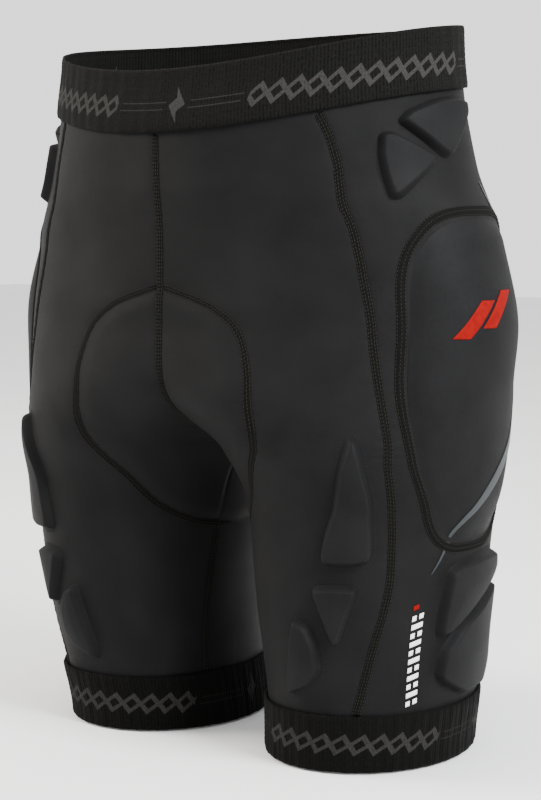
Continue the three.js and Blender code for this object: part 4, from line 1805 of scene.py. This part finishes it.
        for which, corners in self.bars:
            name = f"{side.prefix}hip_mark_{which}"
            piece = bent_grid(name, 12, 26, partial(place, np.array(corners, float)))
            self.press(piece, dome)
            nodes = [side.prefix + "hip_emblem"] if which == "front" else []
            self.settle(piece, "red", side, *nodes)

    def build(self) -> None:
        """Makes both hip pads."""
        for side in Side:
            start = side.prefix
            dome = self.build_dome(side)
            self.build_crescent(side, dome)
            self.build_emblem(side, dome)
            add_wall(dome, self.skin)
            self.settle(dome, "laminate", side, start + "hip_cover", start + "hip_foam")
            edge = self.oval.outline(self.seam_margin, 300)
            route = Route(*self.oval.patch.on_form(edge[:, 0], edge[:, 1]), closed=True)
            self.seam(start + "hip_seam", side, SeamKind.HIP, route, start + "hip_seam")


@dataclass
class SeatPad(Assembly):
    """The seat pad inside the crotch, in two halves that meet at the middle."""

    gap: float = 3.6
    middle: float = 8.0
    rim: float = 2.0
    columns: int = 72
    rows: int = 84
    channels: tuple[float, ...] = (0.42, 0.72)
    channel_width: float = 0.035
    channel_depth: float = 0.3
    edge_walk: float = 0.2

    def build_half(self, side: Side) -> None:
        """Makes one half as a closed slab, channelled on its inner face."""
        top = SEAT_PAD_EDGE[-1][1]
        turn, level = SEAT_EDGE_LINE.T
        steps = np.linspace(0, 1, len(turn))

        def place(across: Array, along: Array) -> Placed:
            """A vertex round the slab's section and along its run from back to front."""
            walk = across * 4 % 4
            edge = self.edge_walk
            turned_up, back = 2 - edge, 4 - edge
            share = np.clip(np.where(walk < 2, walk, back - walk) / turned_up, 0, 1)
            layer = np.clip((walk - turned_up) / edge, 0, 1)
            layer = np.where(walk > back, 1 - (walk - back) / edge, layer)
            run = along * 2 - 1
            reach = share**0.9
            middle_height = FORM.crotch_height + (top - FORM.crotch_height) * run * run
            edge_turn = np.interp(np.abs(run), steps, turn)
            edge_height = np.interp(np.abs(run), steps, level)
            height = middle_height + (edge_height - middle_height) * reach
            inner = 180 - FORM.middle_angle(middle_height)
            turned = 180 - (inner + (edge_turn - inner) * reach)
            body = np.where(height > FORM.crotch_height, FORM.middle_angle(height), 180)
            angle = np.where(run < 0, -1, 1) * np.minimum(turned, body)
            thick = self.middle + (self.rim - self.middle) * reach**2
            pressed = sum(
                np.exp(-(((reach - at) / self.channel_width) ** 2)) for at in self.channels
            )
            thick = thick * (1 - self.channel_depth * pressed * layer)
            points = FORM.skin(side, angle, height, -(self.gap + layer * thick))
            outward = FORM.facing(side, angle, height) * np.where(layer > 0.5, -1, 1)[:, None]
            return Placed(points, outward, np.stack([reach * 0.09, along * 0.3], -1))

        name = side.prefix + "seat_pad_half"
        piece = bent_grid(name, self.columns, self.rows, place, join=True)
        self.settle(piece, "fleece", side, *(["seat_pad"] if side is Side.LEFT else []))

    def build(self) -> None:
        """Makes both halves."""
        for side in Side:
            self.build_half(side)


@dataclass
class ThighPrints(Assembly):
    """The white printed ladder of slanted bars up each thigh, with one red bar at its top."""

    foot: tuple[float, float] = (-30.3, 43.0)
    head: tuple[float, float] = (-28.0, 112.0)
    width: float = 8.4
    steps: int = 11
    lean: float = 2.2
    lift: float = 0.2

    def bar(
        self, name: str, side: Side, rise: tuple[float, float], span: tuple[float, float]
    ) -> Piece:
        """Makes one slanted bar between two shares of the ladder's height and of its width."""

        def place(across: Array, along: Array) -> Placed:
            """A vertex of the bar on the cloth."""
            share = rise[0] + (rise[1] - rise[0]) * along
            degrees = self.foot[0] + (self.head[0] - self.foot[0]) * share
            height = self.foot[1] + (self.head[1] - self.foot[1]) * share
            sideways = (span[0] + (span[1] - span[0]) * across - 0.5) * self.width
            degrees = degrees + sideways / FORM.per_degree(degrees, height)
            height = height + self.lean * sideways / self.width
            points = CLOTH.at(side, degrees, height, self.lift)
            flat = np.stack([sideways, height], -1) * MM
            return Placed(points, FORM.facing(side, degrees, height), flat)

        piece = bent_grid(name, 8, 4, place)
        add_wall(piece, PRINT_THICK, inwards=False)
        return piece

    def build(self) -> None:
        """Makes the ladder on both thighs."""
        whole, halves = ((0.0, 1.0),), ((0.0, 0.36), (0.62, 1.0))
        for side in Side:
            bars = []
            for step in range(self.steps):
                low = (step + 0.1) / (self.steps + 1)
                rise = (low, low + 0.58 / (self.steps + 1))
                for span in whole if step % 2 else halves:
                    name = f"{side.prefix}thigh_bar_{len(bars)}"
                    bars.append(self.bar(name, side, rise, span))
            activate(bars[0])
            for piece in bars:
                piece.select_set(True)
            bpy.ops.object.join()
            bars[0].name = side.prefix + "thigh_ladder"
            self.settle(bars[0], "white", side, side.prefix + "thigh_print")
            tick = self.bar(side.prefix + "thigh_tick", side, (0.945, 0.99), (0.0, 0.5))
            self.settle(tick, "red", side)


# ---- The room ----


@dataclass(frozen=True)
class Lamp:
    """A soft square lamp: where it hangs, its size in metres, its watts and its tint."""

    name: str
    place: tuple[float, float, float]
    size: float
    power: float
    tint: tuple[float, float, float]

    def hang(self, aim: float) -> None:
        """Adds the lamp, faced at a height over the middle of the floor."""
        light = bpy.data.lights.new(self.name, "AREA")
        light.size = self.size
        light.energy = self.power
        light.color = self.tint
        lamp = bpy.data.objects.new(self.name, light)
        bpy.context.scene.collection.objects.link(lamp)
        lamp.location = self.place
        towards = Vector((0, 0, aim)) - Vector(self.place)
        lamp.rotation_euler = towards.to_track_quat("-Z", "Y").to_euler()


@dataclass
class Studio:
    """The camera, a plain pale floor and soft lights."""

    azimuth: float = 36.4
    elevation: float = 5.35
    distance: float = 1.293
    sideways: float = 0.0088
    aim_height: float = -0.2454
    lens: float = 84.4
    floor_gap: float = 0.0015
    floor_size: float = 14.0
    lamp_aim: float = -0.24
    air: float = 1.75
    lamps: tuple[Lamp, ...] = (
        Lamp("front_left", (-1.9, -1.2, 1.2), 1.0, 112.0, (1.0, 0.93, 0.86)),
        Lamp("wearer_left", (2.0, -0.4, 1.1), 1.0, 165.0, (0.97, 0.985, 1.0)),
        Lamp("above", (0.2, -0.6, 2.0), 1.2, 18.0, (1, 1, 1)),
    )

    def aim_camera(self) -> None:
        """Makes the camera at a three-quarter view from the wearer's left."""
        turn, rise = math.radians(self.azimuth), math.radians(self.elevation)
        right = Vector((math.cos(turn), math.sin(turn), 0))
        target = right * self.sideways + Vector((0, 0, self.aim_height))
        level = math.cos(rise)
        back = Vector((math.sin(turn) * level, -math.cos(turn) * level, math.sin(rise)))
        lens = bpy.data.cameras.new("view")
        lens.lens = self.lens
        camera = bpy.data.objects.new("view", lens)
        bpy.context.scene.collection.objects.link(camera)
        camera.location = target + back * self.distance
        camera.rotation_euler = (-back).to_track_quat("-Z", "Y").to_euler()
        bpy.context.scene.camera = camera

    def build(self, lowest: float) -> None:
        """Makes the floor, the lamps and the pale air.

        Args:
            lowest: The height of the shorts' lowest point.
        """
        deselect()
        height = lowest - self.floor_gap
        bpy.ops.mesh.primitive_plane_add(size=self.floor_size, location=(0, 0, height))
        floor = bpy.context.active_object
        floor.name = "floor"
        dark, light = (0.72, 0.72, 0.72, 1), (0.75, 0.75, 0.75, 1)
        finish = GrainFinish("Pale Floor", "", dark, light, 0.7, 3.0, 0.02)
        floor.data.materials.append(finish.build({}))
        floor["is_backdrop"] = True
        for lamp in self.lamps:
            lamp.hang(self.lamp_aim)
        world = bpy.data.worlds.new("pale_air")
        bpy.context.scene.world = world
        world.use_nodes = True
        air = world.node_tree.nodes["Background"]
        air.inputs["Color"].default_value = (1, 1, 1, 1)
        air.inputs["Strength"].default_value = self.air


def corners_of(box: tuple[Vector, Vector]) -> list[list[float]]:
    """A box as plain lists of numbers."""
    return [list(box[0]), list(box[1])]


def main() -> None:
    """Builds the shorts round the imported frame, in order."""
    logging.basicConfig(level=logging.INFO, format="%(message)s")
    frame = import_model()
    cad_box = corners_of(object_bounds())
    studio = Studio()
    studio.aim_camera()
    STITCH.model()
    wardrobe = Wardrobe().build()
    for part in (Shell, Seams, Elastics, SmallPads, HipPads, SeatPad, ThighPrints):
        part(wardrobe).build()
    studio.build(cad_box[0][2])


if __name__ == "__main__":
    main()
